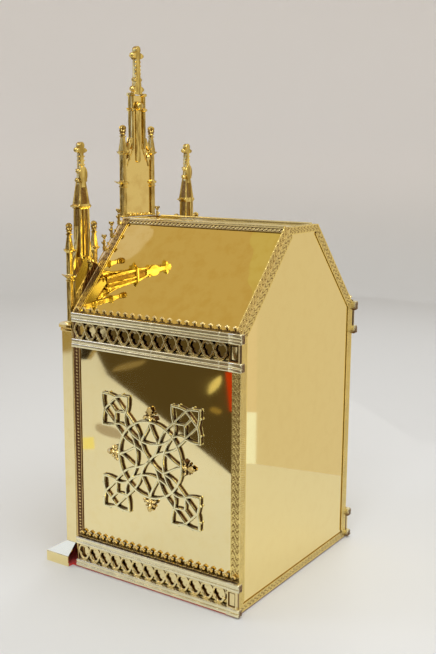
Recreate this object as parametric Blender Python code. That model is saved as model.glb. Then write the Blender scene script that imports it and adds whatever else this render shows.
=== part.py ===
"""Exposition tabernacle in polished brass: a gabled case with a Gothic front.

Metres, +Z up, origin at the centre of the underside.  The front, with its doors, faces -Y, and the
viewer standing before it has +X on the right.  The case is a hollow shell of sheet brass: its six
walls follow one outline in the XZ plane, and cast trims, galleries, crosses and towers stand on it.
"""

from math import asin, cos, pi, radians, sin

import bmesh
import bpy
from mathutils import Matrix, Vector

# ---- driving dimensions -------------------------------------------------------------------
EAVE = 0.508                 # height of the side walls
RIDGE = 0.677                # height of the flat top
HALF_WIDTH = 0.211           # over the trims
HALF_DEPTH = 0.190           # over the trims
HALF_TOP = 0.0522            # flat top
GAP = 0.0003                 # between pieces that touch
SHEET = 0.0025               # wall sheets
TRIM = 0.0020                # cast trims lying on the sheets
FELT = 0.003                 # pad under the base
BASE_Z = FELT + GAP          # underside of the metal case

# ---- front plate and doorway --------------------------------------------------------------
PLATE_BACK = -HALF_DEPTH - GAP
PLATE_FRONT = PLATE_BACK - 0.003
RELIEF_BACK = PLATE_FRONT - GAP
PLATE_HALF_LOW = 0.2057      # beside the buttresses
PLATE_HALF_HIGH = 0.1975     # between the outer pinnacles
DOOR_HALF = 0.120
DOOR_LOW = 0.056
DOOR_HIGH = 0.456
DOOR_CLEAR = 0.0006
DOOR_THICK = 0.006
HINGE_X = 0.1227
HINGE_Y = PLATE_FRONT - 0.0052
HINGE_Z = (DOOR_LOW + DOOR_HIGH) / 2
KNUCKLE_R = 0.0030
PIN_R = 0.0013

# ---- buttresses, feet and towers ----------------------------------------------------------
PIER_IN, PIER_OUT = 0.1325, 0.2083
PIER_FRONT = -0.220
PIER_CAP = (0.4750, 0.4855)
FOOT_SPREAD = 0.0227         # foot block beyond the buttress, to the sides
FOOT_FRONT = -0.254
FOOT_BACK = -0.1966
FOOT_WALL_TOP, FOOT_TOP = 0.0212, 0.0425
TOWER_X = 0.1703
TOWER_Y = -0.1976            # plane on which the towers are centred
PINNACLE_OFFSET = 0.0355
SIDE_SHAFT = 0.0050          # half width of a side pinnacle
CENTRE_SHAFT = 0.0055        # and of a pinnacle beside the centre turret
PLATE_HALF_CENTRE = 0.0396
PANEL_HALF = 0.0016          # half thickness of the centre turret's plate
CENTRE_SHAFT_X = PLATE_HALF_CENTRE + GAP + CENTRE_SHAFT
TIP_CENTRE = 1.012
TIP_SIDE = 0.8240

# ---- galleries along the sides ------------------------------------------------------------
GALLERY_IN = HALF_WIDTH + GAP
TRACERY_OUT = HALF_WIDTH + 0.0047
TRACERY_THICK = 0.0025
BLOCK_OUT = HALF_WIDTH + 0.0092
GALLERY_Y = (-0.1830, 0.1700)
TRACERY_START = -0.1770      # first pierced loop begins here
END_BLOCK_Y = (0.1703, 0.1905)
RAIL_END_Y = 0.1975
RAIL_OUT = HALF_WIDTH + 0.0108
GALLERIES = {
    "base": {"low": (BASE_Z, 0.0155), "high": (0.0500, 0.0630), "crest": 0.0775},
    "eave": {"low": (0.4450, 0.4590), "high": (0.4930, 0.5090), "crest": 0.5230},
}
TRACERY_UNITS = 13
FLEURONS = 22

# ---- crosses on the sides -----------------------------------------------------------------
CROSS_Y, CROSS_Z = -0.0045, 0.2523
CROSS_RING = 0.0737
CROSS_ARM = 0.0190           # half width of a diagonal arm
CROSS_HEAD = (0.0495, 0.1180)
CROSS_THICK = 0.0060

BRASS = (0.78, 0.60, 0.27)


# ---- scene and materials ------------------------------------------------------------------
def clear_scene():
    for thing in list(bpy.data.objects):
        bpy.data.objects.remove(thing, do_unlink=True)


def material(name, colour, roughness, metallic):
    made = bpy.data.materials.new(name)
    made.use_nodes = True
    shader = made.node_tree.nodes["Principled BSDF"]
    shader.inputs["Base Color"].default_value = (*colour, 1.0)
    shader.inputs["Roughness"].default_value = roughness
    shader.inputs["Metallic"].default_value = metallic
    return made


def place(name, bm, finish):
    """Turn a bmesh into a named object with outward faces and its own material."""
    bmesh.ops.remove_doubles(bm, verts=bm.verts, dist=1e-6)
    bmesh.ops.recalc_face_normals(bm, faces=bm.faces)
    mesh = bpy.data.meshes.new(name)
    bm.to_mesh(mesh)
    bm.free()
    colour, roughness, metallic = FINISHES[finish]
    mesh.materials.append(material(name, colour, roughness, metallic))
    thing = bpy.data.objects.new(name, mesh)
    bpy.context.scene.collection.objects.link(thing)
    return thing


FINISHES = {
    "polished": (BRASS, 0.08, 1.0),
    "cast": ((0.72, 0.56, 0.28), 0.30, 1.0),
    "felt": ((0.42, 0.03, 0.03), 0.95, 0.0),
}


# ---- solid builders -----------------------------------------------------------------------
def prism(name, outline, span, to_world, finish, holes=()):
    """Closed plate: a flat outline with holes, carried from span[0] to span[1].

    to_world(a, b, c) places outline point (a, b) at depth c.
    """
    bm = bmesh.new()
    for loop in (outline, *holes):
        verts = [bm.verts.new(to_world(a, b, span[0])) for a, b in loop]
        for here, after in zip(verts, verts[1:] + verts[:1]):
            bm.edges.new((here, after))
    bmesh.ops.triangle_fill(bm, edges=bm.edges[:], use_beauty=True)
    made = bmesh.ops.extrude_face_region(bm, geom=bm.faces[:])
    moved = [item for item in made["geom"] if isinstance(item, bmesh.types.BMVert)]
    shift = Vector(to_world(0, 0, span[1])) - Vector(to_world(0, 0, span[0]))
    bmesh.ops.translate(bm, verts=moved, vec=shift)
    return place(name, bm, finish)


def loft(name, rings, finish):
    """Closed solid through rings of equally many 3-D points, capped at both ends."""
    bm = bmesh.new()
    rows = [[bm.verts.new(point) for point in ring] for ring in rings]
    bm.faces.new(rows[0])
    bm.faces.new(rows[-1])
    count = len(rows[0])
    for low, high in zip(rows, rows[1:]):
        for i in range(count):
            j = (i + 1) % count
            bm.faces.new((low[i], low[j], high[j], high[i]))
    return place(name, bm, finish)


def stack(name, centre, levels, finish):
    """Square-edged tower: levels of (z, half width in x, back y, front y) about x = centre."""
    uneven = [(z, -half, half, back, front) for z, half, back, front in levels]
    return uneven_stack(name, centre, uneven, finish)


def uneven_stack(name, centre, levels, finish):
    """As stack, with levels of (z, low x, high x, back y, front y) measured from the centre."""
    rings = []
    for z, low, high, back, front in levels:
        corners = ((low, front), (high, front), (high, back), (low, back))
        rings.append([(centre + x, y, z) for x, y in corners])
    return loft(name, rings, finish)


def turned(name, centre, axis, profile, sides, finish):
    """Solid turned about an axis ('y' or 'z') through centre: profile of (distance, radius)."""
    rings = []
    for along, radius in profile:
        ring = []
        for k in range(sides):
            angle = 2 * pi * (k + 0.5) / sides
            p, q = radius * cos(angle), radius * sin(angle)
            offset = (p, along, q) if axis == "y" else (p, q, along)
            ring.append(tuple(c + o for c, o in zip(centre, offset)))
        rings.append(ring)
    return loft(name, rings, finish)


def box(name, low, high, finish):
    (x0, y0, z0), (x1, y1, z1) = low, high
    rings = [[(x0, y0, z), (x1, y0, z), (x1, y1, z), (x0, y1, z)] for z in (z0, z1)]
    return loft(name, rings, finish)


def boolean(target, tool, operation):
    """Join a hidden tool to the target, or cut it away, and keep the tool as a wire guide."""
    step = target.modifiers.new(f"{operation.lower()} {tool.name}", "BOOLEAN")
    step.operation = operation
    step.solver = "EXACT"
    step.object = tool
    tool.hide_render = True
    tool.display_type = "WIRE"
    return target


def hang(thing, axis_point):
    """Put an object's origin on its hinge axis, leaving its shape where it is."""
    spot = Vector(axis_point)
    thing.data.transform(Matrix.Translation(-spot))
    thing.location = spot
    return thing


def on_front(a, b, c):
    """Outline (x, z) at depth y."""
    return (a, c, b)


def flat(a, b, c):
    """Outline (x, y) at height z."""
    return (a, b, c)


def on_side(side):
    """Outline (y, z) at distance x, on the right side (side = 1) or the left (side = -1)."""
    return lambda a, b, c: (side * c, a, b)


# ---- the case's outline -------------------------------------------------------------------
CORNERS = [(HALF_WIDTH, BASE_Z), (HALF_WIDTH, EAVE), (HALF_TOP, RIDGE),
           (-HALF_TOP, RIDGE), (-HALF_WIDTH, EAVE), (-HALF_WIDTH, BASE_Z)]
RIGHT_WALL, RIGHT_SLOPE, TOP, LEFT_SLOPE, LEFT_WALL, FLOOR = range(6)


def edge_frame(index):
    """Start, direction and inward normal of one edge of the outline."""
    start = Vector(CORNERS[index])
    run = (Vector(CORNERS[(index + 1) % 6]) - start).normalized()
    return start, run, Vector((-run.y, run.x))


def inset(corner, depth):
    """Where two neighbouring edges meet when both are moved inward by depth."""
    start_a, run_a, inward_a = edge_frame((corner - 1) % 6)
    start_b, run_b, inward_b = edge_frame(corner % 6)
    a = start_a + inward_a * depth
    b = start_b + inward_b * depth
    cross = run_a.x * run_b.y - run_a.y * run_b.x
    step = ((b.x - a.x) * run_b.y - (b.y - a.y) * run_b.x) / cross
    return a + run_a * step


def edge_bar(name, edge, profile, finish):
    """Bar along one edge of the outline with mitred ends: profile points are (inset, y)."""
    run = edge_frame(edge)[1] * (GAP / 2)
    rings = []
    for corner, shift in ((edge, run), (edge + 1, -run)):
        spots = [(inset(corner, depth) + shift, y) for depth, y in profile]
        rings.append([(spot.x, y, spot.y) for spot, y in spots])
    return loft(name, rings, finish)


def rectangle(depth, along):
    return [(depth[0], along[0]), (depth[1], along[0]), (depth[1], along[1]), (depth[0], along[1])]


# ---- case ---------------------------------------------------------------------------------
SHELL_OUT = TRIM + GAP
BACK_PANEL = (HALF_DEPTH - SHELL_OUT - SHEET, HALF_DEPTH - SHELL_OUT)
SHELL_Y = (-HALF_DEPTH, BACK_PANEL[0] - GAP)


def make_case():
    wall = rectangle((SHELL_OUT, SHELL_OUT + SHEET), SHELL_Y)
    for name, edge in (("side_panel_right", RIGHT_WALL), ("roof_slope_right", RIGHT_SLOPE),
                       ("roof_top_plate", TOP), ("roof_slope_left", LEFT_SLOPE),
                       ("side_panel_left", LEFT_WALL)):
        edge_bar(name, edge, wall, "polished")
    edge_bar("floor_plate", FLOOR, rectangle((0.0, 0.003), SHELL_Y), "polished")
    outline = [tuple(inset(i, SHELL_OUT)) for i in range(6)]
    prism("back_panel", outline, BACK_PANEL, on_front, "polished")


def make_felt():
    """One red felt sheet: the case's footprint and a tongue inside each foot block."""
    half, rear, front = 0.2185, 0.1865, -0.1955
    toe = FOOT_FRONT + SHEET + GAP
    inner = PIER_IN - FOOT_SPREAD + SHEET + GAP
    outer = PIER_OUT + FOOT_SPREAD - SHEET - GAP
    right = [(half, rear), (half, front), (outer, front), (outer, toe), (inner, toe), (inner, front)]
    outline = right + [(-x, y) for x, y in reversed(right)]
    prism("base_felt", outline, (0.0, FELT), flat, "felt")


# ---- trims --------------------------------------------------------------------------------
BACK_LEG_Y = HALF_DEPTH - TRIM
SIDE_LEG = 0.0190            # length of a corner trim's leg on the side
BACK_LEG = 0.0185            # and on the back
RAKE_LEG = 0.0137
FRONT_SIDE_LEG = 0.0165
FRONT_RAKE_LEG = 0.0148


def make_trims():
    def angle(side_leg, back_leg):
        return [(0.0, HALF_DEPTH), (back_leg, HALF_DEPTH), (back_leg, BACK_LEG_Y),
                (TRIM, BACK_LEG_Y), (TRIM, HALF_DEPTH - side_leg), (0.0, HALF_DEPTH - side_leg)]

    for side, wall, slope in (("right", RIGHT_WALL, RIGHT_SLOPE), ("left", LEFT_WALL, LEFT_SLOPE)):
        edge_bar(f"back_corner_trim_{side}", wall, angle(SIDE_LEG, BACK_LEG), "cast")
        edge_bar(f"back_rake_trim_{side}", slope, angle(RAKE_LEG, BACK_LEG), "cast")
        front_strip = rectangle((0.0, TRIM), (-HALF_DEPTH, -HALF_DEPTH + FRONT_SIDE_LEG))
        edge_bar(f"front_side_strip_{side}", wall, front_strip, "cast")
        rake_strip = rectangle((0.0, TRIM), (-HALF_DEPTH, -HALF_DEPTH + FRONT_RAKE_LEG))
        edge_bar(f"front_rake_strip_{side}", slope, rake_strip, "cast")
    edge_bar("back_top_trim", TOP, angle(RAKE_LEG, 0.0137), "cast")
    edge_bar("back_sill_trim", FLOOR, rectangle((0.0, 0.0135), (BACK_LEG_Y, HALF_DEPTH)), "cast")


def make_ridge_rails():
    """Moulded rail on each edge of the flat top, with a rope-pattern strip down the slope."""
    length = (-HALF_DEPTH + FRONT_RAKE_LEG + GAP, HALF_DEPTH - RAKE_LEG - GAP)
    start, run, inward = edge_frame(RIGHT_SLOPE)
    top = inset(RIGHT_SLOPE + 1, 0.0)
    skin = SHELL_OUT - GAP
    profile = [
        inset(RIGHT_SLOPE + 1, skin) + Vector((-0.0090, 0)),
        inset(RIGHT_SLOPE + 1, skin),
        inset(RIGHT_SLOPE + 1, skin) - run * 0.0135,
        top - run * 0.0135 - inward * 0.0002,
        top - run * 0.0035 - inward * 0.0002,
        top - run * 0.0020 - inward * 0.0012,
        top + Vector((0.0006, 0.0010)),
        top + Vector((-0.0020, 0.0020)),
        top + Vector((-0.0058, 0.0016)),
        top + Vector((-0.0090, 0.0004)),
    ]
    for name, side in (("right", 1), ("left", -1)):
        rings = [[(side * p.x, y, p.y) for p in profile] for y in length]
        loft(f"ridge_rail_{name}", rings, "cast")


# ---- galleries ----------------------------------------------------------------------------
def rail_profile(low, high, grow):
    """Double moulding: two rounded beads with a fillet between, as (x, z); grow swells it."""
    height = high - low
    reach = RAIL_OUT - GALLERY_IN
    shape = [(0.0, 0.0), (0.55, 0.0), (0.92, 0.08), (1.0, 0.22), (0.86, 0.36), (0.60, 0.42),
             (0.60, 0.52), (0.90, 0.60), (1.0, 0.76), (0.88, 0.92), (0.50, 1.0), (0.0, 1.0)]
    points = []
    for out, up in shape:
        x = GALLERY_IN + out * reach + (grow if out > 0 else 0)
        z = low + up * height + grow * (2 * up - 1)
        points.append((x, z))
    return points


def make_rail(name, side, low, high):
    """Rail with a thicker, returned length over the end block at the back."""
    swell = 0.0012
    lift = swell if low <= BASE_Z else 0.0
    stations = ((GALLERY_Y[0], 0.0), (GALLERY_Y[1] - 0.004, 0.0),
                (GALLERY_Y[1] - 0.004, swell), (RAIL_END_Y, swell))
    rings = []
    for y, grow in stations:
        section = rail_profile(low, high, grow)
        if lift and grow:
            section = [(x, max(z, low)) for x, z in section]
        rings.append([(side * x, y, z) for x, z in section])
    return loft(name, rings, "cast")


def make_tracery(name, side, low, high):
    """Pierced band: a row of pointed loops, with a solid panelled block at the back end."""
    pitch = (END_BLOCK_Y[0] - TRACERY_START) / TRACERY_UNITS
    middle = (low + high) / 2
    reach = (high - low) / 2 - 0.0016
    holes = []
    for k in range(TRACERY_UNITS):
        centre = TRACERY_START + (k + 0.5) * pitch
        angles = [2 * pi * step / 8 for step in range(8)]
        holes.append([(centre + 0.40 * pitch * cos(t), middle + reach * sin(t)) for t in angles])
    outline = [(GALLERY_Y[0], low), (END_BLOCK_Y[0], low), (END_BLOCK_Y[0], high), (GALLERY_Y[0], high)]
    depth = (TRACERY_OUT - TRACERY_THICK, TRACERY_OUT)
    band = prism(name, outline, depth, on_side(side), "cast", holes)
    y0, y1 = END_BLOCK_Y
    near, far = sorted((side * GALLERY_IN, side * BLOCK_OUT))
    block = box(f"{name} block", (near, y0 - 0.0006, low), (far, y1, high), "cast")
    return boolean(band, block, "UNION")


def make_cresting(name, side, base, tip):
    """Strip of small fleurons on stalks, cut as one outline."""
    start, end = GALLERY_Y[0] + 0.002, END_BLOCK_Y[1] - 0.002
    pitch = (end - start) / FLEURONS
    rise = tip - base
    top_edge = []
    for k in range(FLEURONS):
        y = start + (k + 0.5) * pitch
        top_edge += [(y - 0.0012, base + 0.22 * rise), (y - 0.0034, base + 0.66 * rise),
                     (y, tip), (y + 0.0034, base + 0.66 * rise), (y + 0.0012, base + 0.22 * rise)]
    outline = [(start, base), (start, base + 0.22 * rise), *top_edge,
               (end, base + 0.22 * rise), (end, base)]
    depth = (GALLERY_IN + 0.0030, GALLERY_IN + 0.0055)
    return prism(name, outline, depth, on_side(side), "cast")


def make_galleries():
    for side_name, side in (("right", 1), ("left", -1)):
        for level, spec in GALLERIES.items():
            (low0, low1), (high0, high1) = spec["low"], spec["high"]
            swell = 0.0012 + GAP
            make_rail(f"{level}_lower_rail_{side_name}", side, low0, low1)
            make_rail(f"{level}_upper_rail_{side_name}", side, high0, high1)
            make_tracery(f"{level}_tracery_{side_name}", side, low1 + swell, high0 - swell)
            make_cresting(f"{level}_cresting_{side_name}", side, high1 + swell, spec["crest"])


# ---- crosses ------------------------------------------------------------------------------
def turn(points, quarter):
    """Turn outline points by quarter turns about the origin."""
    for _ in range(quarter):
        points = [(-b, a) for a, b in points]
    return points


def cross_quadrant():
    """Outline of one quadrant: a fleuron on the ring, the ring's arc, and a square arm head."""
    inner, outer = CROSS_HEAD
    reach = (CROSS_RING ** 2 - CROSS_ARM ** 2) ** 0.5
    root = ((reach + CROSS_ARM) / 2 ** 0.5, (reach - CROSS_ARM) / 2 ** 0.5)
    slide = inner - root[1]
    start = 0.004 / CROSS_RING
    stop = pi / 4 - asin(CROSS_ARM / CROSS_RING)
    arc = [start + (stop - start) * k / 4 for k in range(4)]
    lower = [(CROSS_RING + 0.0215, 0.0), (CROSS_RING + 0.0150, 0.0060), (CROSS_RING + 0.0120, 0.0125),
             (CROSS_RING + 0.0060, 0.0085), (CROSS_RING + 0.0030, 0.0030)]
    lower += [(CROSS_RING * cos(t), CROSS_RING * sin(t)) for t in arc]
    lower += [root, (root[0] + slide, inner), (outer, inner)]
    upper = [(b, a) for a, b in reversed(lower[1:])]
    return lower + [(outer, outer)] + upper


def make_cross(name, side):
    outline = []
    holes = []
    inner, outer = CROSS_HEAD
    window = [(inner + 0.014, inner + 0.010), (outer - 0.010, inner + 0.010),
              (outer - 0.010, outer - 0.010), (inner + 0.010, outer - 0.010), (inner + 0.010, inner + 0.014)]
    light = []
    for k in range(5):
        t = radians(-24 + 12 * k)
        light.append(((CROSS_RING - 0.010) * cos(t), (CROSS_RING - 0.010) * sin(t)))
    light.append((0.0230, 0.0))
    for quarter in range(4):
        outline += turn(cross_quadrant(), quarter)
        holes += [turn(window, quarter), turn(light, quarter)]

    def shift(points):
        return [(CROSS_Y + a, CROSS_Z + b) for a, b in points]

    face = HALF_WIDTH - SHELL_OUT + GAP
    prism(name, shift(outline), (face, face + CROSS_THICK), on_side(side), "cast",
          [shift(hole) for hole in holes])


# ---- front plate --------------------------------------------------------------------------
def rake_z(x):
    """Height of the gable's slope at distance x from the middle."""
    return RIDGE - (abs(x) - HALF_TOP) * (RIDGE - EAVE) / (HALF_WIDTH - HALF_TOP)


def arc_points(centre, radius, start, stop, steps):
    points = []
    for k in range(steps + 1):
        angle = radians(start + (stop - start) * k / steps)
        points.append((centre[0] + radius * cos(angle), centre[1] + radius * sin(angle)))
    return points


def make_front_plate():
    """Front sheet: gabled between the towers, with small gablets at the corners and a doorway."""
    foot = 0.1330
    half = [(PLATE_HALF_LOW, BASE_Z), (PLATE_HALF_LOW, PIER_CAP[0]), (PLATE_HALF_HIGH, PIER_CAP[0]),
            (PLATE_HALF_HIGH, 0.5720), (TOWER_X, 0.6090), (foot, rake_z(foot)), (HALF_TOP, RIDGE)]
    outline = half + [(-x, z) for x, z in reversed(half)]
    doorway = [(-DOOR_HALF, DOOR_LOW), (DOOR_HALF, DOOR_LOW), (DOOR_HALF, DOOR_HIGH), (-DOOR_HALF, DOOR_HIGH)]
    plate = prism("front_plate", outline, (PLATE_FRONT, PLATE_BACK), on_front, "polished", [doorway])
    middle = (0.0, 0.5480)
    ring = prism("gable ring", arc_points(middle, 0.0480, 0, 337.5, 15),
                 (PLATE_FRONT - 0.0030, PLATE_FRONT + 0.0010), on_front, "cast",
                 [arc_points(middle, 0.0390, 0, 337.5, 15)])
    boolean(plate, ring, "UNION")
    course = box("eave course", (-PIER_IN + 0.004, PLATE_FRONT - 0.0045, 0.4760),
                 (PIER_IN - 0.004, PLATE_FRONT + 0.0010, 0.4840), "cast")
    boolean(plate, course, "UNION")
    sill_half = PIER_IN - FOOT_SPREAD - 0.002
    sill = box("door sill", (-sill_half, PLATE_FRONT - 0.0060, 0.0400),
               (sill_half, PLATE_FRONT + 0.0010, 0.0500), "cast")
    boolean(plate, sill, "UNION")


# ---- doors and hinges ---------------------------------------------------------------------
DOOR_KNUCKLES = ((0.120, 0.150), (0.362, 0.392))
LEAF_FRONT = PLATE_BACK - DOOR_THICK


def lancet(centre, half, foot, spring, steps=4):
    """Pointed window outline: straight sides, then two arcs struck from the opposite springing."""
    right = arc_points((centre - half, spring), 2 * half, 0, 60, steps)
    left = [(2 * centre - x, z) for x, z in reversed(right[:-1])]
    return [(centre - half, foot), (centre + half, foot), *right, *left]


def make_door(name, side):
    """Door leaf with two sunk lancets, carrying its own tubular knuckles on the hinge axis."""
    near, far = DOOR_CLEAR / 2, DOOR_HALF - DOOR_CLEAR
    low, high = DOOR_LOW + DOOR_CLEAR, DOOR_HIGH - DOOR_CLEAR
    x0, x1 = sorted((side * near, side * far))
    leaf = box(name, (x0, LEAF_FRONT, low), (x1, PLATE_BACK, high), "polished")
    width = far - near
    for k in (0, 1):
        centre = side * (near + width * (0.275 + 0.45 * k))
        sunk = prism(f"{name} lancet {k}", lancet(centre, 0.0185, low + 0.030, high - 0.085),
                     (LEAF_FRONT - 0.001, LEAF_FRONT + 0.0015), on_front, "polished")
        boolean(leaf, sunk, "DIFFERENCE")
    for k, (bottom, top) in enumerate(DOOR_KNUCKLES):
        tab_x = sorted((side * (far - 0.012), side * HINGE_X))
        tab = box(f"{name} tab {k}", (tab_x[0], HINGE_Y - 0.0012, bottom),
                  (tab_x[1], LEAF_FRONT + 0.0006, top), "polished")
        boolean(leaf, tab, "UNION")
        barrel = turned(f"{name} barrel {k}", (side * HINGE_X, HINGE_Y, 0), "z",
                        [(bottom, KNUCKLE_R), (top, KNUCKLE_R)], 12, "polished")
        boolean(leaf, barrel, "UNION")
        bore = turned(f"{name} bore {k}", (side * HINGE_X, HINGE_Y, 0), "z",
                      [(bottom - 0.002, PIN_R + 0.0004), (top + 0.002, PIN_R + 0.0004)], 12, "polished")
        boolean(leaf, bore, "DIFFERENCE")
    hang(leaf, (side * HINGE_X, HINGE_Y, HINGE_Z))


def make_hinge(name, side):
    """Fixed half of a door's hinges: a pin through all knuckles and a flange on the front plate."""
    bottom, top = DOOR_KNUCKLES[0][0] - 0.018, DOOR_KNUCKLES[1][1] + 0.018
    centre = (side * HINGE_X, HINGE_Y, 0)
    pin = turned(name, centre, "z", [(bottom, PIN_R), (top, PIN_R)], 10, "polished")
    spans = ((bottom, DOOR_KNUCKLES[0][0] - GAP), (DOOR_KNUCKLES[0][1] + GAP, DOOR_KNUCKLES[0][1] + 0.018),
             (DOOR_KNUCKLES[1][0] - 0.018, DOOR_KNUCKLES[1][0] - GAP), (DOOR_KNUCKLES[1][1] + GAP, top))
    for k, (low, high) in enumerate(spans):
        barrel = turned(f"{name} knuckle {k}", centre, "z", [(low, KNUCKLE_R), (high, KNUCKLE_R)], 12,
                        "polished")
        boolean(pin, barrel, "UNION")
        flange_x = sorted((side * (HINGE_X + 0.0004), side * (PIER_IN - 0.0008)))
        flange = box(f"{name} flange {k}", (flange_x[0], HINGE_Y + 0.0008, low + 0.0005),
                     (flange_x[1], RELIEF_BACK, high - 0.0005), "polished")
        boolean(pin, flange, "UNION")


def make_knob():
    """Small turned knob on a plate, on the right-hand leaf beside the meeting edge."""
    x, z = 0.0145, (DOOR_LOW + DOOR_HIGH) / 2
    front = LEAF_FRONT - GAP
    plate = box("door_knob", (x - 0.009, front - 0.0015, z - 0.017),
                (x + 0.009, front, z + 0.017), "polished")
    profile = [(front - 0.0010, 0.0040), (front - 0.0060, 0.0030), (front - 0.0085, 0.0065),
               (front - 0.0125, 0.0080), (front - 0.0160, 0.0055), (front - 0.0170, 0.0020)]
    knob = turned("knob turning", (x, 0, z), "y", profile, 12, "polished")
    boolean(plate, knob, "UNION")
    hang(plate, (HINGE_X, HINGE_Y, HINGE_Z))


# ---- buttresses and feet ------------------------------------------------------------------
def make_buttress(name, side):
    """Polished box pier with a moulded cap on which the side tower stands."""
    centre = side * (PIER_IN + PIER_OUT) / 2
    half = (PIER_OUT - PIER_IN) / 2
    top = PIER_CAP[1]
    levels = [(FOOT_TOP + GAP, 0, 0), (PIER_CAP[0] - 0.006, 0, 0), (PIER_CAP[0] - 0.003, 0.0012, 0.0022),
              (PIER_CAP[0], 0.0012, 0.0022), (PIER_CAP[0], 0.0030, 0.0052), (top - 0.004, 0.0030, 0.0052),
              (top, 0.0008, 0.0030)]
    rings = [(z, half + wide, RELIEF_BACK, PIER_FRONT - deep) for z, wide, deep in levels]
    return stack(name, centre, rings, "polished")


def make_foot(name, side):
    """Hipped foot block of sheet brass under a buttress, open below and at its back end."""
    centre = side * (PIER_IN + PIER_OUT) / 2
    pier = (PIER_OUT - PIER_IN) / 2
    half = pier + FOOT_SPREAD
    outer = [(0.0, half, FOOT_BACK, FOOT_FRONT), (FOOT_WALL_TOP, half, FOOT_BACK, FOOT_FRONT),
             (FOOT_TOP, pier, FOOT_BACK, PIER_FRONT)]
    shell = stack(name, centre, outer, "polished")
    past = FOOT_BACK + 0.01
    inner = [(-0.01, half - SHEET, past, FOOT_FRONT + SHEET),
             (FOOT_WALL_TOP - 0.0012, half - SHEET, past, FOOT_FRONT + SHEET),
             (FOOT_TOP - SHEET, pier - 0.0012, past, PIER_FRONT + 0.0012)]
    hollow = stack(f"{name} hollow", centre, inner, "polished")
    return boolean(shell, hollow, "DIFFERENCE")


# ---- towers -------------------------------------------------------------------------------
def about_plane(levels, split):
    """Stack levels from (z, half width, front depth, back depth), measured from the towers' plane;
    below split the back lies against the front plate instead."""
    rings = []
    for z, half, front, back in levels:
        if z <= split:
            rings.append((z, half, RELIEF_BACK, TOWER_Y - front))
        if z >= split:
            rings.append((z + GAP, half, TOWER_Y + back, TOWER_Y - front))
    return rings


def make_side_tower(name, side):
    """Side spire: panelled stage, string course, tapering spire, leafy knop and cross finial."""
    split = 0.6095
    levels = [
        (PIER_CAP[1] + GAP, 0.0240, 0.0060, 0), (0.5880, 0.0240, 0.0060, 0), (0.5980, 0.0170, 0.0080, 0),
        (split, 0.0125, 0.0082, 0.0082), (0.7010, 0.0118, 0.0080, 0.0080),
        (0.7035, 0.0225, 0.0125, 0.0100), (0.7080, 0.0225, 0.0125, 0.0100),
        (0.7090, 0.0128, 0.0086, 0.0086), (0.7490, 0.0082, 0.0055, 0.0055),
        (0.7550, 0.0125, 0.0080, 0.0080), (0.7630, 0.0112, 0.0070, 0.0070),
        (0.7750, 0.0086, 0.0055, 0.0055), (0.7800, 0.0046, 0.0040, 0.0040),
        (0.8040, 0.0040, 0.0036, 0.0036), (0.8075, 0.0140, 0.0060, 0.0060),
        (0.8120, 0.0140, 0.0060, 0.0060), (0.8140, 0.0052, 0.0046, 0.0046),
        (0.8195, 0.0052, 0.0046, 0.0046), (TIP_SIDE, 0.0020, 0.0018, 0.0018),
    ]
    return stack(name, side * TOWER_X, about_plane(levels, split), "cast")


def make_centre_tower():
    """Centre turret: corbel on the gable, tall plate, shoulders, panelled stage between two posts,
    knop and cross."""
    split = RIDGE + GAP
    wide, thin = PLATE_HALF_CENTRE, PANEL_HALF
    levels = [
        (0.6080, 0.0120, 0.0020, 0), (0.6400, wide, 0.0060, 0), (0.6740, wide, 0.0060, 0),
        (split, wide, thin, thin), (0.8050, wide, thin, thin), (0.8280, 0.0215, thin, thin),
        (0.8850, 0.0205, thin, thin), (0.8875, 0.0265, 0.0085, thin), (0.8915, 0.0265, 0.0085, thin),
        (0.8930, 0.0205, thin, thin), (0.9160, 0.0205, thin, thin), (0.9170, 0.0245, 0.0075, 0.0060),
        (0.9205, 0.0245, 0.0075, 0.0060), (0.9215, 0.0110, 0.0050, 0.0050),
        (0.9280, 0.0100, 0.0050, 0.0050), (0.9330, 0.0240, 0.0090, 0.0090),
        (0.9420, 0.0190, 0.0080, 0.0080), (0.9530, 0.0064, 0.0052, 0.0052),
        (0.9890, 0.0052, 0.0046, 0.0046), (0.9930, 0.0225, 0.0075, 0.0075),
        (0.9985, 0.0225, 0.0075, 0.0075), (1.0010, 0.0068, 0.0055, 0.0055),
        (1.0070, 0.0068, 0.0055, 0.0055), (TIP_CENTRE, 0.0025, 0.0022, 0.0022),
    ]
    tower = stack("tower_centre", 0.0, about_plane(levels, split), "cast")
    for k, x in enumerate((-0.0188, 0.0188)):
        post = box(f"turret post {k}", (x - 0.0034, TOWER_Y - 0.0054, 0.8200),
                   (x + 0.0034, TOWER_Y + 0.0054, 0.9187), "cast")
        boolean(tower, post, "UNION")
    return tower


def make_pinnacle(name, x, side, inward, spec, half, back):
    """Square shaft with a beaked set-off, a moulded cap and a leafy finial.

    side points away from the tower's axis; inward is how far mouldings may reach towards it.
    """
    foot, beak, cap, tip = spec
    middle = back - half
    levels = [
        (foot, 1.0, 1.0), (beak - 0.0035, 1.0, 1.0), (beak, 2.9, 4.4), (beak + 0.0020, 2.9, 4.4),
        (beak + 0.0055, 1.0, 1.0), (cap - 0.0020, 0.92, 0.92), (cap, 1.75, 3.0), (cap + 0.0030, 1.75, 3.0),
        (cap + 0.0040, 0.90, 0.90), (tip - 0.0200, 0.62, 0.62), (tip - 0.0140, 1.30, 1.30),
        (tip - 0.0060, 1.1, 1.1), (tip, 0.35, 0.35),
    ]
    rings = []
    for z, swell, spout in levels:
        reach = swell * half
        low, high = sorted((-side * min(reach, half + inward), side * reach))
        rings.append((z, low, high, middle + min(reach, half), middle - spout * half))
    return uneven_stack(name, x, rings, "cast")


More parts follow.
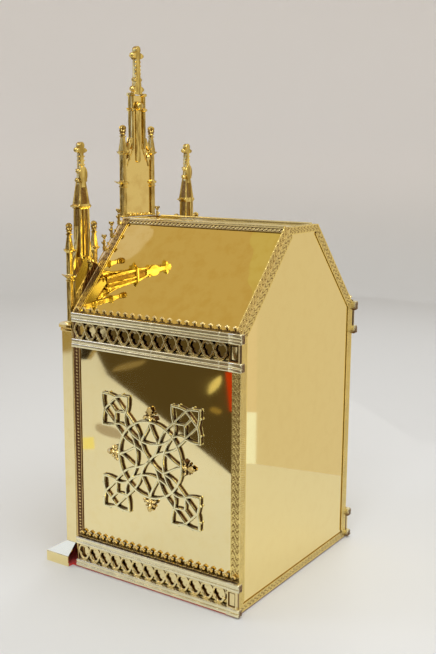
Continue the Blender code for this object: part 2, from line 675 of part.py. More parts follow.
def make_pinnacles():
    shaft_foot = PIER_CAP[1] + GAP
    side_levels = (shaft_foot, 0.5745, 0.6235, 0.6760)
    centre_levels = (RIDGE + GAP, 0.7470, 0.8060, 0.8585)
    for name, side in (("right", 1), ("left", -1)):
        make_pinnacle(f"tower_{name}_outer_pinnacle", side * (TOWER_X + PINNACLE_OFFSET), side,
                      0.0030, side_levels, SIDE_SHAFT, TOWER_Y + SIDE_SHAFT)
        make_pinnacle(f"tower_{name}_inner_pinnacle", side * (TOWER_X - PINNACLE_OFFSET), -side,
                      0.0030, side_levels, SIDE_SHAFT, RELIEF_BACK)
        make_pinnacle(f"tower_centre_pinnacle_{name}", side * CENTRE_SHAFT_X, side,
                      0.0, centre_levels, CENTRE_SHAFT, TOWER_Y + CENTRE_SHAFT)


def make_strap():
    """Flat stay down the back of the centre turret, held at its top by a domed nut."""
    face = TOWER_Y + PANEL_HALF + GAP
    strap = box("tower_centre_strap", (-0.0066, face, 0.7850), (0.0066, face + 0.0022, 0.9060), "polished")
    dome = [(face + 0.0010, 0.0065), (face + 0.0050, 0.0085), (face + 0.0095, 0.0065),
            (face + 0.0120, 0.0025)]
    nut = turned("strap nut", (0, 0, 0.8965), "y", dome, 12, "polished")
    return boolean(strap, nut, "UNION")


def make_gable_crest(name, side):
    """Strip on the gable's slope with upright leafy stalks."""
    start, end, thick = 0.1250, 0.0560, 0.0062
    first, pitch, count, tall = 0.1082, 0.0226, 3, 0.0305
    upper = [(start, rake_z(start) - 0.0005)]
    for k in range(count):
        x = first - k * pitch
        ground = rake_z(x)
        upper += [(x + 0.0016, ground), (x + 0.0010, ground + 0.55 * tall),
                  (x + 0.0046, ground + 0.78 * tall),
                  (x, ground + tall), (x - 0.0046, ground + 0.78 * tall), (x - 0.0010, ground + 0.55 * tall),
                  (x - 0.0016, ground + 0.0030)]
    upper.append((end, rake_z(end) - 0.0005))
    lower = [(end, rake_z(end) - thick), (start, rake_z(start) - thick)]
    outline = [(side * x, z) for x, z in upper + lower]
    prism(name, outline, (RELIEF_BACK - 0.0045, RELIEF_BACK), on_front, "cast")


# ---- everything ---------------------------------------------------------------------------
def main():
    clear_scene()
    make_felt()
    make_case()
    make_trims()
    make_ridge_rails()
    make_galleries()
    make_front_plate()
    make_centre_tower()
    make_pinnacles()
    make_strap()
    make_knob()
    for name, side in (("right", 1), ("left", -1)):
        make_cross(f"side_cross_{name}", side)
        make_buttress(f"buttress_{name}", side)
        make_foot(f"foot_block_{name}", side)
        make_side_tower(f"tower_{name}", side)
        make_gable_crest(f"gable_crest_{name}", side)
        make_door(f"door_{name}", side)
        make_hinge(f"hinge_{name}", side)


main()
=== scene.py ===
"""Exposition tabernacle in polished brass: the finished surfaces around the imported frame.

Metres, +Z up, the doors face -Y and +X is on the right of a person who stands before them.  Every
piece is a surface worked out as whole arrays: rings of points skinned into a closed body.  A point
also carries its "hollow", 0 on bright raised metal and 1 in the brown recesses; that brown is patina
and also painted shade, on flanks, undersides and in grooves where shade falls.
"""
from math import cos, pi, radians, sin, sqrt

import bpy
import numpy as np
from mathutils import Matrix, Vector


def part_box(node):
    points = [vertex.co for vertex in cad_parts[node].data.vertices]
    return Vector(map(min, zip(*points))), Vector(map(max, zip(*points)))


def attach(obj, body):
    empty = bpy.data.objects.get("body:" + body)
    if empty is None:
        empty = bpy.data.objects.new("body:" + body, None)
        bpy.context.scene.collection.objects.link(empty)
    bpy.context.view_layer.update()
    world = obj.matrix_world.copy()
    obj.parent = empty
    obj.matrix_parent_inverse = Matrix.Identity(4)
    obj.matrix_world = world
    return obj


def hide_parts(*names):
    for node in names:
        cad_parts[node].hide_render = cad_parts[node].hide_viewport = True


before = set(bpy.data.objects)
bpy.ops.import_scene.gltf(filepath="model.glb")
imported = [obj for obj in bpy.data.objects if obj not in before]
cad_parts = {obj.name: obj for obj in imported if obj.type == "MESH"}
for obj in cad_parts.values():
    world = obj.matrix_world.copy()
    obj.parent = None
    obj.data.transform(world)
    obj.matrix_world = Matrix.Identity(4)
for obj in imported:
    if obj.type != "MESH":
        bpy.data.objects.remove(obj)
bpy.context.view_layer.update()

SIDES = (("right", 1), ("left", -1))


# ---- closed surfaces ----------------------------------------------------------------------
def outward(points, groups, hollow):
    """A part with its faces turned outward: the signed volume of its fans decides."""
    volume = 0.0
    for group in groups:
        corner = points[group]
        for k in range(1, group.shape[1] - 1):
            cross = np.cross(corner[:, k], corner[:, k + 1])
            volume += np.einsum("ij,ij->", corner[:, 0], cross)
    if volume < 0:
        groups = [group[:, ::-1] for group in groups]
    return points, groups, hollow


def skin(rings, hollow=0.0, loop=False):
    """Closed body through rings of points: point j of ring i joins point j of ring i + 1, and the
    last point of a ring joins its first.  Both ends are capped unless the rings close in a loop."""
    rings = np.asarray(rings, float)
    n, m = rings.shape[:2]
    i = np.arange(n if loop else n - 1)[:, None]
    j = np.arange(m)[None, :]
    after = (i + 1) % n
    quads = np.stack([i * m + j, i * m + (j + 1) % m, after * m + (j + 1) % m, after * m + j], axis=-1)
    groups = [quads.reshape(-1, 4)]
    if not loop:
        groups += [np.arange(m)[None, ::-1], (n - 1) * m + np.arange(m)[None, :]]
    shade = np.broadcast_to(np.asarray(hollow, float), (n, m)).ravel()
    return outward(rings.reshape(-1, 3), groups, shade)


def mirrored(parts):
    """The same parts on the other side of the X = 0 plane."""
    return [outward(points * (-1.0, 1.0, 1.0), groups, hollow) for points, groups, hollow in parts]


def both_ways(parts, side):
    """The parts as made for the right-hand side, or mirrored for the left."""
    return parts if side > 0 else mirrored(parts)


def browned(parts, least):
    """The same parts with their hollow raised evenly, so that they look browner."""
    return [(points, groups, least + (1 - least) * hollow) for points, groups, hollow in parts]


def mesh_of(name, parts):
    """One mesh from several closed parts, with the hollow as a point attribute."""
    points = np.concatenate([part[0] for part in parts])
    hollow = np.concatenate([part[2] for part in parts])
    corners, sizes, base = [], [], 0
    for part_points, groups, _ in parts:
        corners += [(group + base).ravel() for group in groups]
        sizes += [np.full(len(group), group.shape[1]) for group in groups]
        base += len(part_points)
    corners, sizes = np.concatenate(corners), np.concatenate(sizes)
    starts = np.concatenate(([0], np.cumsum(sizes)[:-1]))
    mesh = bpy.data.meshes.new(name)
    mesh.vertices.add(len(points))
    mesh.vertices.foreach_set("co", points.astype(np.float32).ravel())
    mesh.loops.add(len(corners))
    mesh.loops.foreach_set("vertex_index", corners.astype(np.int32))
    mesh.polygons.add(len(sizes))
    mesh.polygons.foreach_set("loop_start", starts.astype(np.int32))
    mesh.update(calc_edges=True)
    mesh.validate()
    layer = mesh.attributes.new("hollow", "FLOAT", "POINT")
    layer.data.foreach_set("value", hollow.astype(np.float32))
    return mesh


def piece(name, parts, finish, nodes=(), slot="cast_brass", body="case", crease=38):
    """A finished piece: its mesh, material, shading, the body it rides on and the nodes it stands for."""
    mesh = mesh_of(name, parts)
    mesh.materials.append(finish)
    mesh.shade_smooth()
    mesh.set_sharp_from_angle(angle=radians(crease))
    made = bpy.data.objects.new(name, mesh)
    bpy.context.scene.collection.objects.link(made)
    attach(made, body)
    if nodes:
        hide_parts(*([nodes] if isinstance(nodes, str) else nodes))
    return made


def pair_of(prefix, stem, parts, finish, stands_in=True, **given):
    """The same piece on the right and mirrored on the left, each in place of its own node."""
    for side_name, side in SIDES:
        node = f"{stem}_{side_name}"
        nodes = node if stands_in else ()
        piece(f"{prefix}_{node}", both_ways(parts, side), FINISH[finish], nodes, **given)


# ---- outlines and placings ----------------------------------------------------------------
def arc(centre, radius, start, stop, steps):
    """Points on a circle, or on an ellipse when the radius is a pair, between two angles in degrees."""
    angle = np.radians(np.linspace(start, stop, steps + 1))
    rx, ry = radius if isinstance(radius, tuple) else (radius, radius)
    return np.stack([centre[0] + rx * np.cos(angle), centre[1] + ry * np.sin(angle)], axis=-1)


def bezier(p0, p1, p2, p3, steps):
    """Cubic curve from p0 to p3, drawn towards p1 and p2."""
    t = np.linspace(0, 1, steps + 1)[:, None]
    p0, p1, p2, p3 = (np.asarray(p, float) for p in (p0, p1, p2, p3))
    return (1 - t) ** 3 * p0 + 3 * t * (1 - t) ** 2 * p1 + 3 * t ** 2 * (1 - t) * p2 + t ** 3 * p3


def on_side(a, b, c):
    """Plane coordinates (y, z) at distance x from the middle, on the right-hand side."""
    return np.stack(np.broadcast_arrays(c, a, b), axis=-1)


def on_front(a, b, c):
    """Plane coordinates (x, z) at depth y."""
    return np.stack(np.broadcast_arrays(a, c, b), axis=-1)


def on_floor(a, b, c):
    """Plane coordinates (x, y) at height z."""
    return np.stack(np.broadcast_arrays(a, b, c), axis=-1)


def sideways(path, loop=False):
    """Unit normals of a plane path, a quarter turn left of its direction."""
    if loop:
        run = np.roll(path, -1, axis=0) - np.roll(path, 1, axis=0)
    else:
        run = np.gradient(path, axis=0)
    run = run / np.maximum(np.linalg.norm(run, axis=1, keepdims=True), 1e-9)
    return np.stack([-run[:, 1], run[:, 0]], axis=-1)


def bar(path, width, depth, to_world, loop=False, crown=0.4, dark=1.0):
    """Cast bar along a plane path: upright flanks, two bevels and a narrow bright top.

    depth is (foot, top) along the third direction; the flanks darken towards the foot as painted shade.
    """
    path = np.asarray(path, float)
    foot, top = depth
    half, drop = width / 2, crown * min(width, abs(top - foot)) * np.sign(top - foot)
    section = np.array([(-half, foot), (-half, (foot + top) / 2), (-half, top - drop), (-0.3 * half, top),
                        (0.3 * half, top), (half, top - drop), (half, (foot + top) / 2), (half, foot)])
    hollow = np.array([1.0, 0.9, 0.35, 0.0, 0.0, 0.35, 0.9, 1.0]) * dark
    spot = path[:, None, :] + sideways(path, loop)[:, None, :] * section[None, :, :1]
    rings = to_world(spot[..., 0], spot[..., 1], section[None, :, 1])
    return skin(rings, hollow, loop)


def lattice_bar(path, width, depth, to_world, loop=False):
    """Bar of pierced work: sloping flanks painted brown as shade, and a slim rounded bright top."""
    path = np.asarray(path, float)
    foot, top = depth
    half, tall = width / 2, top - foot
    angle = np.radians([10, 50, 90, 130, 170])
    crown = np.stack([0.74 * half * np.cos(angle), top - 0.045 * tall * (1 - np.sin(angle))], axis=-1)[::-1]
    flank = [(-half, foot), (-half, foot + 0.40 * tall), (-0.86 * half, foot + 0.72 * tall)]
    section = np.array(flank + crown.tolist() + [(-a, b) for a, b in flank[::-1]])
    hollow = np.array([1.0, 0.84, 0.50, 0.15, 0.0, 0.0, 0.0, 0.15, 0.50, 0.84, 1.0])
    spot = path[:, None, :] + sideways(path, loop)[:, None, :] * section[None, :, :1]
    return skin(to_world(spot[..., 0], spot[..., 1], section[None, :, 1]), hollow, loop)


def inset_loop(loop, distance):
    """A closed outline moved inward by a distance, each corner along its mitre."""
    loop = np.asarray(loop, float)
    edge = np.roll(loop, -1, axis=0) - loop
    edge /= np.linalg.norm(edge, axis=1, keepdims=True)
    area = np.sum(loop[:, 0] * np.roll(loop[:, 1], -1) - loop[:, 1] * np.roll(loop[:, 0], -1))
    normal = np.stack([-edge[:, 1], edge[:, 0]], axis=-1) * np.sign(area)
    before = np.roll(normal, 1, axis=0)
    corner_step = (normal + before) / (1 + np.sum(normal * before, axis=1, keepdims=True))
    return loop + corner_step * distance


def stepped_plate(outline, steps, to_world):
    """Plate with stepped or sunk margins: (inset, depth, hollow) steps from its back edge inward."""
    loops = [inset_loop(outline, inset) for inset, _, _ in steps]
    rings = [to_world(loop[:, 0], loop[:, 1], step[1]) for loop, step in zip(loops, steps)]
    hollow = np.array([[step[2]] * len(outline) for step in steps])
    return skin(rings, hollow)


def rectangle(a0, a1, b0, b1):
    """Four corners between two values of each plane coordinate."""
    return [(a0, b0), (a1, b0), (a1, b1), (a0, b1)]


def rounded_square(corner=0.2, steps=3):
    """Unit plan, -1 to 1 both ways, with rounded corners; corner is their radius."""
    turns = [arc((sx * (1 - corner), sy * (1 - corner)), corner, start, start + 90, steps)
             for sx, sy, start in ((1, 1, 0), (-1, 1, 90), (-1, -1, 180), (1, -1, 270))]
    return np.concatenate(turns)


def rolled_square(roll=0.2, sunk=0.16, steps=4):
    """Unit plan with a slim roll on each corner and a sunk face between the rolls."""
    sides = []
    for quarter in range(4):
        centre = (1 - roll, 1 - roll)
        turn = arc(centre, roll, -60, 150, steps)
        stop = np.array([(1 - 2.2 * roll, 1 - sunk), (-(1 - 2.2 * roll), 1 - sunk)])
        side = np.concatenate([turn, stop])
        angle = quarter * pi / 2
        spin = np.array([[cos(angle), sin(angle)], [-sin(angle), cos(angle)]])
        sides.append(side @ spin)
    return np.concatenate(sides)


def shaft(levels, plan, centre=(0.0, 0.0), hollow=0.0):
    """Upright body on a unit plan: levels of (z, half x, front y, back y), y measured from centre."""
    rings = []
    for z, half, front, back in levels:
        x = centre[0] + plan[:, 0] * half
        y = centre[1] + (back + front) / 2 + plan[:, 1] * (back - front) / 2
        rings.append(np.stack([x, y, np.full(len(plan), z)], axis=-1))
    return skin(rings, hollow)


def turned(profile, centre, axis=(0, 0, 1), sides=16, hollow=None):
    """Solid turned about an axis through centre: a profile of (distance along, radius)."""
    axis = Vector(axis).normalized()
    u = np.array(axis.orthogonal().normalized())
    w = np.cross(np.array(axis), u)
    angle = 2 * pi * np.arange(sides) / sides
    spoke = np.cos(angle)[:, None] * u + np.sin(angle)[:, None] * w
    rings = [np.asarray(centre) + np.array(axis) * along + spoke * radius for along, radius in profile]
    shade = 0.0 if hollow is None else np.repeat(np.asarray(hollow, float)[:, None], sides, axis=1)
    return skin(rings, shade)


def ball(centre, radius, axis=(0, 0, 1), sides=10, squash=1.0, hollow=0.0):
    """Small ball, or a bead flattened along its axis by squash."""
    angle = np.linspace(-0.48 * pi, 0.48 * pi, max(5, sides // 2 + 1))
    profile = [(squash * radius * sin(t), radius * cos(t)) for t in angle]
    return turned(profile, centre, axis, sides, hollow=[hollow] * len(profile))


def leaf(root, out, up, length, width, curl=1.6, bulb=0.0, thick=0.4, lobes=0.22, stations=9, sides=8):
    """Curled leaf: an arc that leaves the root along out and bends towards up by curl radians.

    Its width swells as the root of a sine, waved by lobes; bulb shifts the swelling to the tip.
    """
    out, up = (np.array(Vector(v).normalized()) for v in (out, up))
    across = np.cross(out, up)
    t = np.linspace(0.0, 1.0, stations)[:, None]
    bend = max(abs(curl), 1e-3) * np.sign(curl if curl else 1)
    centre = np.asarray(root) + length / bend * (np.sin(bend * t) * out + (1 - np.cos(bend * t)) * up)
    normal = -np.sin(bend * t) * out + np.cos(bend * t) * up
    swell = np.sqrt(np.clip(np.sin(pi * (0.06 + 0.9 * t ** (1 + 1.5 * bulb))), 0.02, None))
    spread = width * swell * (1 + lobes * np.cos(6 * pi * t)) * (1 - bulb + bulb * (0.4 + 0.9 * t))
    angle = 2 * pi * np.arange(sides) / sides
    rim = np.cos(angle)[None, :, None] * spread[:, None] / 2
    rise = (np.sin(angle) * thick + 0.30 * (1 - np.abs(np.cos(angle))))[None, :, None] * spread[:, None] / 2
    rings = centre[:, None] + rim * across + rise * normal[:, None]
    # Painted shade: the leaf browns on its underside.
    hollow = np.broadcast_to(0.75 * np.clip(-np.sin(angle), 0, 1) ** 0.5 + 0.1, (stations, sides))
    return skin(rings, hollow)


# ---- finishes -----------------------------------------------------------------------------
def corner_of(node, index):
    """Low corner (0) or high corner (1) of a node's box in the frame."""
    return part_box(node)[index]


FRONT_EDGE = corner_of("front_side_strip_right", 0)[1]


class Nodes:
    """Short way to add and join shader nodes in one tree."""

    def __init__(self, tree):
        self.tree = tree

    def add(self, kind, settings=None, **inputs):
        node = self.tree.nodes.new(kind)
        for key, value in (settings or {}).items():
            setattr(node, key, value)
        for key, value in inputs.items():
            self.feed(node.inputs[key.replace("_", " ")], value)
        return node

    def feed(self, socket, value):
        if isinstance(value, bpy.types.NodeSocket):
            self.tree.links.new(value, socket)
        else:
            socket.default_value = value

    def maths(self, operation, a, b=0.5):
        node = self.tree.nodes.new("ShaderNodeMath")
        node.operation = operation
        self.feed(node.inputs[0], a)
        self.feed(node.inputs[1], b)
        return node.outputs[0]

    def blend(self, factor, a, b):
        node = self.tree.nodes.new("ShaderNodeMix")
        node.data_type = "RGBA"
        self.feed(node.inputs["Factor"], factor)
        self.feed(node.inputs["A"], a)
        self.feed(node.inputs["B"], b)
        return node.outputs["Result"]

    def noise(self, where, scale, detail=3.0, roughness=0.55):
        return self.add("ShaderNodeTexNoise", Vector=where, Scale=scale, Detail=detail,
                        Roughness=roughness).outputs["Fac"]

    def ramp(self, value, low, high, to_low=0.0, to_high=1.0):
        node = self.add("ShaderNodeMapRange", {"interpolation_type": "SMOOTHSTEP"}, Value=value)
        for key, number in (("From Min", low), ("From Max", high), ("To Min", to_low), ("To Max", to_high)):
            self.feed(node.inputs[key], number)
        return node.outputs["Result"]


def group_tree(name, inputs, outputs):
    """Empty node group with named sockets: returns its tools, its input node and output node."""
    tree = bpy.data.node_groups.new(name, "ShaderNodeTree")
    for label, kind, value in inputs:
        socket = tree.interface.new_socket(label, in_out="INPUT", socket_type=kind)
        if value is not None:
            socket.default_value = value
    for label, kind in outputs:
        tree.interface.new_socket(label, in_out="OUTPUT", socket_type=kind)
    tools = Nodes(tree)
    return tools, tools.add("NodeGroupInput"), tools.add("NodeGroupOutput")


def patina_and_shade_group():
    """Brown where the hollow is high, with a ragged edge: patina, and painted shade in the recesses."""
    tools, given, result = group_tree(
        "Recess patina and painted shade",
        (("Hollow", "NodeSocketFloat", 0.0), ("Position", "NodeSocketVector", None),
         ("Bright", "NodeSocketColor", (1, 1, 1, 1)), ("Brown", "NodeSocketColor", (0.1, 0.05, 0.02, 1)),
         ("Start", "NodeSocketFloat", 0.35), ("End", "NodeSocketFloat", 0.85),
         ("Bright roughness", "NodeSocketFloat", 0.15), ("Brown roughness", "NodeSocketFloat", 0.5)),
        (("Color", "NodeSocketColor"), ("Roughness", "NodeSocketFloat"), ("Mask", "NodeSocketFloat")))
    where = given.outputs["Position"]
    ragged = tools.maths("SUBTRACT", tools.noise(where, 420.0, 2.0), 0.5)
    brown_amount = tools.maths("ADD", given.outputs["Hollow"], tools.maths("MULTIPLY", ragged, 0.45))
    mask = tools.ramp(brown_amount, given.outputs["Start"], given.outputs["End"])
    spotted = tools.ramp(tools.noise(where, 55.0), 0.35, 0.75, 0.86, 1.0)
    bright = tools.add("ShaderNodeVectorMath", {"operation": "SCALE"})
    tools.feed(bright.inputs[0], given.outputs["Bright"])
    tools.feed(bright.inputs["Scale"], spotted)
    tools.feed(result.inputs["Color"], tools.blend(mask, bright.outputs[0], given.outputs["Brown"]))
    rough = tools.add("ShaderNodeMix", {"data_type": "FLOAT"})
    tools.feed(rough.inputs["Factor"], mask)
    tools.feed(rough.inputs["A"], given.outputs["Bright roughness"])
    tools.feed(rough.inputs["B"], given.outputs["Brown roughness"])
    tools.feed(result.inputs["Roughness"], rough.outputs["Result"])
    tools.feed(result.inputs["Mask"], mask)
    return tools.tree


def buffed_group():
    """Buffed sheet: broad ripples, fine buffing lines, and faint cloudy spots in the gloss."""
    tools, given, result = group_tree(
        "Buffed sheet",
        (("Position", "NodeSocketVector", None), ("Ripple", "NodeSocketFloat", 0.1),
         ("Ripple scale", "NodeSocketFloat", 6.0), ("Colour", "NodeSocketColor", (1, 1, 1, 1)),
         ("Cloud", "NodeSocketColor", (0.8, 0.6, 0.3, 1)), ("Clouding", "NodeSocketFloat", 0.2),
         ("Gloss", "NodeSocketFloat", 0.04)),
        (("Color", "NodeSocketColor"), ("Roughness", "NodeSocketFloat"), ("Normal", "NodeSocketVector")))
    where = given.outputs["Position"]
    broad = tools.noise(where, given.outputs["Ripple scale"], 1.0, 0.4)
    cloud = tools.noise(where, 38.0, 4.0, 0.6)
    patch = tools.maths("MULTIPLY", tools.ramp(cloud, 0.42, 0.72), given.outputs["Clouding"])
    tools.feed(result.inputs["Color"], tools.blend(patch, given.outputs["Colour"], given.outputs["Cloud"]))
    rubbed = tools.ramp(tools.noise(where, 9.0, 2.0), 0.3, 0.8, 0.0, 0.03)
    tools.feed(result.inputs["Roughness"], tools.maths("ADD", given.outputs["Gloss"], rubbed))
    bump = tools.add("ShaderNodeBump", Strength=given.outputs["Ripple"], Height=broad, Distance=0.004)
    tools.feed(result.inputs["Normal"], bump.outputs["Normal"])
    return tools.tree


PATINA_AND_SHADE = patina_and_shade_group()
BUFFED = buffed_group()


def empty_material(name):
    """New material with its tree's tools, its shader and the object coordinates."""
    made = bpy.data.materials.new(name)
    made.use_nodes = True
    tools = Nodes(made.node_tree)
    shader = made.node_tree.nodes["Principled BSDF"]
    where = tools.add("ShaderNodeTexCoord").outputs["Object"]
    return made, tools, shader, where


def sheet_brass(name, colour, cloud, clouding, ripple, ripple_scale, gloss=0.035):
    """Mirror-polished sheet."""
    made, tools, shader, where = empty_material(name)
    shader.inputs["Metallic"].default_value = 1.0
    buffed = tools.add("ShaderNodeGroup", {"node_tree": BUFFED}, Position=where, Ripple=ripple,
                       Ripple_scale=ripple_scale, Colour=(*colour, 1), Cloud=(*cloud, 1),
                       Clouding=clouding, Gloss=gloss)
    tools.feed(shader.inputs["Base Color"], buffed.outputs["Color"])
    tools.feed(shader.inputs["Roughness"], buffed.outputs["Roughness"])
    tools.feed(shader.inputs["Normal"], buffed.outputs["Normal"])
    return made


def shadowed_sheet(name):
    """Polished sheet whose back is painted olive where it stands clear above the roof's slope, a painted
    reflection, and painted dark brown inside a slanting line there, a painted shadow beside the rake."""
    made = sheet_brass(name, PALE, (0.86, 0.66, 0.28), 0.3, 0.08, 5.0, 0.06)
    tools, shader = Nodes(made.node_tree), made.node_tree.nodes["Principled BSDF"]
    where = tools.add("ShaderNodeTexCoord").outputs["Object"]
    place = tools.add("ShaderNodeSeparateXYZ", Vector=where).outputs
    across = tools.maths("ABSOLUTE", place["X"])
    behind = tools.ramp(place["Y"], FRONT_EDGE - 0.0015, FRONT_EDGE - 0.0009)
    behind = tools.maths("MULTIPLY", behind, tools.ramp(across, 0.120, 0.126))
    slant = tools.maths("MULTIPLY", tools.maths("SUBTRACT", place["Z"], 0.5080), 0.40)
    inward = tools.ramp(tools.maths("ADD", across, slant), 0.1990, 0.1930)
    colour = shader.inputs["Base Color"].links[0].from_socket
    # Painted reflection: olive over the plate's back where it stands above the roof.
    colour = tools.blend(behind, colour, (0.44, 0.34, 0.12, 1))
    # Painted shadow: dark brown in a band along the rake.
    mask = tools.maths("MULTIPLY", behind, inward)
    tools.feed(shader.inputs["Base Color"], tools.blend(mask, colour, (0.060, 0.026, 0.008, 1)))
    return made


def cast_brass(name, bright, brown, start, end, gloss, grain=0.12, mottle=0.0, metal=1.0):
    """Cast and chased brass, bright on its edges and brown in its recesses, as patina and as painted shade.

    mottle paints soft upright streaks of darker reflection, and makes the surface uneven like sand casting.
    """
    made, tools, shader, where = empty_material(name)
    shader.inputs["Metallic"].default_value = metal
    hollow = tools.add("ShaderNodeAttribute", {"attribute_name": "hollow"}).outputs["Fac"]
    patina = tools.add("ShaderNodeGroup", {"node_tree": PATINA_AND_SHADE}, Hollow=hollow, Position=where,
                       Bright=(*bright, 1), Brown=(*brown, 1), Start=start, End=end,
                       Bright_roughness=gloss, Brown_roughness=0.42)
    colour, height = patina.outputs["Color"], tools.noise(where, 900.0, 2.0)
    bump = tools.add("ShaderNodeBump", Strength=grain, Distance=0.0004, Height=height)
    if mottle:
        drawn = tools.add("ShaderNodeVectorMath", {"operation": "MULTIPLY"})
        tools.feed(drawn.inputs[0], where)
        drawn.inputs[1].default_value = (1.0, 1.0, 0.28)
        # Painted reflection: darker, browner upright streaks standing for the towers' uneven reflections.
        patch = tools.ramp(tools.noise(drawn.outputs[0], 130.0, 2.0), 0.36, 0.66, 0.0, mottle)
        colour = tools.blend(patch, colour, (0.36 * bright[0], 0.29 * bright[1], 0.15 * bright[2], 1))
        uneven = tools.noise(drawn.outputs[0], 85.0, 2.0)
        swell = tools.add("ShaderNodeBump", Strength=0.9 * mottle, Distance=0.004, Height=uneven)
        tools.feed(bump.inputs["Normal"], swell.outputs["Normal"])
    tools.feed(shader.inputs["Base Color"], colour)
    tools.feed(shader.inputs["Roughness"], patina.outputs["Roughness"])
    tools.feed(shader.inputs["Normal"], bump.outputs["Normal"])
    return made


def red_felt():
    """Matt red felt: short tangled fibres, darker between them."""
    made, tools, shader, where = empty_material("red felt")
    fibres = tools.noise(where, 1400.0, 4.0, 0.7)
    tint = tools.blend(tools.ramp(fibres, 0.3, 0.7), (0.45, 0.006, 0.008, 1), (0.85, 0.015, 0.012, 1))
    tools.feed(shader.inputs["Base Color"], tint)
    shader.inputs["Roughness"].default_value = 0.95
    shader.inputs["Sheen Weight"].default_value = 0.4
    bump = tools.add("ShaderNodeBump", Strength=0.6, Distance=0.0006, Height=fibres)
    tools.feed(shader.inputs["Normal"], bump.outputs["Normal"])
    return made


PALE = (0.95, 0.82, 0.45)
BROWN = (0.075, 0.034, 0.013)
FINISH = {
    "side sheet": sheet_brass("side sheet", PALE, (0.90, 0.72, 0.32), 0.25, 0.05, 3.0),
    "back sheet": sheet_brass("back sheet", (0.95, 0.78, 0.36), (0.90, 0.71, 0.31), 0.3, 0.06, 3.0),
    "roof sheet": sheet_brass("roof sheet", (0.90, 0.700, 0.170), (0.82, 0.59, 0.11), 0.6, 0.12, 14.0, 0.012),
    "plain sheet": sheet_brass("plain sheet", PALE, (0.86, 0.66, 0.28), 0.3, 0.08, 5.0, 0.06),
    "embossed": cast_brass("embossed brass", (0.98, 0.77, 0.27), (0.20, 0.100, 0.022), 0.30, 0.95, 0.20,
                           metal=0.85),
    # Painted shade: the eave's tracery browns sooner and deeper than the base's.
    "eave tracery": cast_brass("eave tracery brass", (1.0, 0.85, 0.45), BROWN, 0.25, 0.80, 0.17),
    "base tracery": cast_brass("base tracery brass", (1.0, 0.84, 0.44), (0.16, 0.072, 0.026), 0.50, 1.0,
                               0.17),
    "strip": cast_brass("dark embossed brass", (0.80, 0.58, 0.24), (0.14, 0.066, 0.030), 0.20, 0.62, 0.22),
    "rake": cast_brass("chased rake brass", (0.96, 0.78, 0.36), (0.15, 0.070, 0.022), 0.20, 0.75, 0.22),
    "lattice": cast_brass("lattice brass", (1.0, 0.93, 0.56), (0.075, 0.030, 0.010), 0.34, 0.90, 0.16,
                          metal=0.90),
    "rail": cast_brass("rail brass", (1.0, 0.92, 0.60), (0.14, 0.062, 0.020), 0.55, 1.00, 0.17, 0.04,
                       metal=0.90),
    "crest": cast_brass("crest brass", (0.97, 0.75, 0.30), BROWN, 0.26, 0.72, 0.18, 0.10),
    "ridge": cast_brass("ridge brass", (0.94, 0.82, 0.42), (0.10, 0.05, 0.018), 0.30, 0.70, 0.16),
    "tower": cast_brass("tower brass", (0.96, 0.74, 0.24), (0.18, 0.080, 0.018), 0.40, 0.95, 0.10, 0.12,
                        0.80),
    "turret": sheet_brass("turret plate", (0.89, 0.69, 0.26), (0.76, 0.54, 0.18), 0.7, 0.10, 9.0, 0.10),
    "foot sheet": sheet_brass("foot sheet", (0.96, 0.82, 0.42), (0.90, 0.74, 0.34), 0.3, 0.08, 5.0, 0.08),
    "front sheet": shadowed_sheet("front sheet"),
    # Painted shade: the cap's sheet is darker and browner than the pier's.
    "cap": sheet_brass("moulded cap", (0.78, 0.57, 0.20), (0.45, 0.28, 0.08), 0.9, 0.20, 30.0, 0.10),
    "felt": red_felt(),
}


# ---- the case's outline, read from the frame ----------------------------------------------
HALF_WIDTH, HALF_DEPTH, EAVE = corner_of("back_corner_trim_right", 1)
BASE_Z = corner_of("back_corner_trim_right", 0)[2]
HALF_TOP, _, RIDGE = corner_of("back_top_trim", 1)
CORNERS = np.array([(HALF_WIDTH, BASE_Z), (HALF_WIDTH, EAVE), (HALF_TOP, RIDGE),
                    (-HALF_TOP, RIDGE), (-HALF_WIDTH, EAVE), (-HALF_WIDTH, BASE_Z)])
WALL, SLOPE, TOP, FLOOR = 0, 1, 2, 5


def edge_frame(edge):
    """Start, direction and inward normal of one edge of the case's outline in the XZ plane."""
    start = CORNERS[edge]
    run = CORNERS[(edge + 1) % 6] - start
    run = run / np.linalg.norm(run)
    return start, run, np.array((-run[1], run[0]))


def mitre(corner, depth):
    """Where the two edges at a corner meet once both are moved inward by depth (an array)."""
    _, _, inward = edge_frame((corner - 1) % 6)
    _, _, after_in = edge_frame(corner % 6)
    joint = CORNERS[corner % 6]
    bend = (inward + after_in) / (1 + inward @ after_in)
    return joint + np.asarray(depth)[..., None] * bend


# ---- embossed patterns: height 0 to 1 over (distance along, distance across) in metres -----
def wander(s, seed):
    """Slow irregular drift of a pattern along its length, from three sines that never fall in step."""
    return (np.sin(s / 0.0113 + seed) + np.sin(s / 0.0047 + 2.1 * seed) + np.sin(s / 0.0231 + 3.7 * seed)) / 3


def acanthus(s, u, width, pitch=0.0125):
    """Slanting leaves that bend one way and back across the strip, with fine ribs and edge fillets."""
    v = u / width - 0.5
    turn = s / pitch + 0.55 * np.sin(2.2 * pi * v) + 0.16 * wander(s, 1.0)
    blade = np.abs(np.cos(pi * turn)) ** 0.55
    ribs = np.cos(2 * pi * (s / 0.0033 + 1.9 * v + 0.6 * wander(s, 2.0) + 0.5 * np.sin(5 * pi * v)))
    spots = np.cos(2 * pi * (2.6 * v + 0.35 * wander(s, 4.0))) * np.cos(2 * pi * s / 0.0058)
    height = 0.62 * blade + 0.24 * ribs + 0.18 * spots
    edge = np.minimum(u, width - u)
    return np.clip(np.maximum(height, np.clip((0.0014 - edge) / 0.0005, 0, 1)), 0, 1)


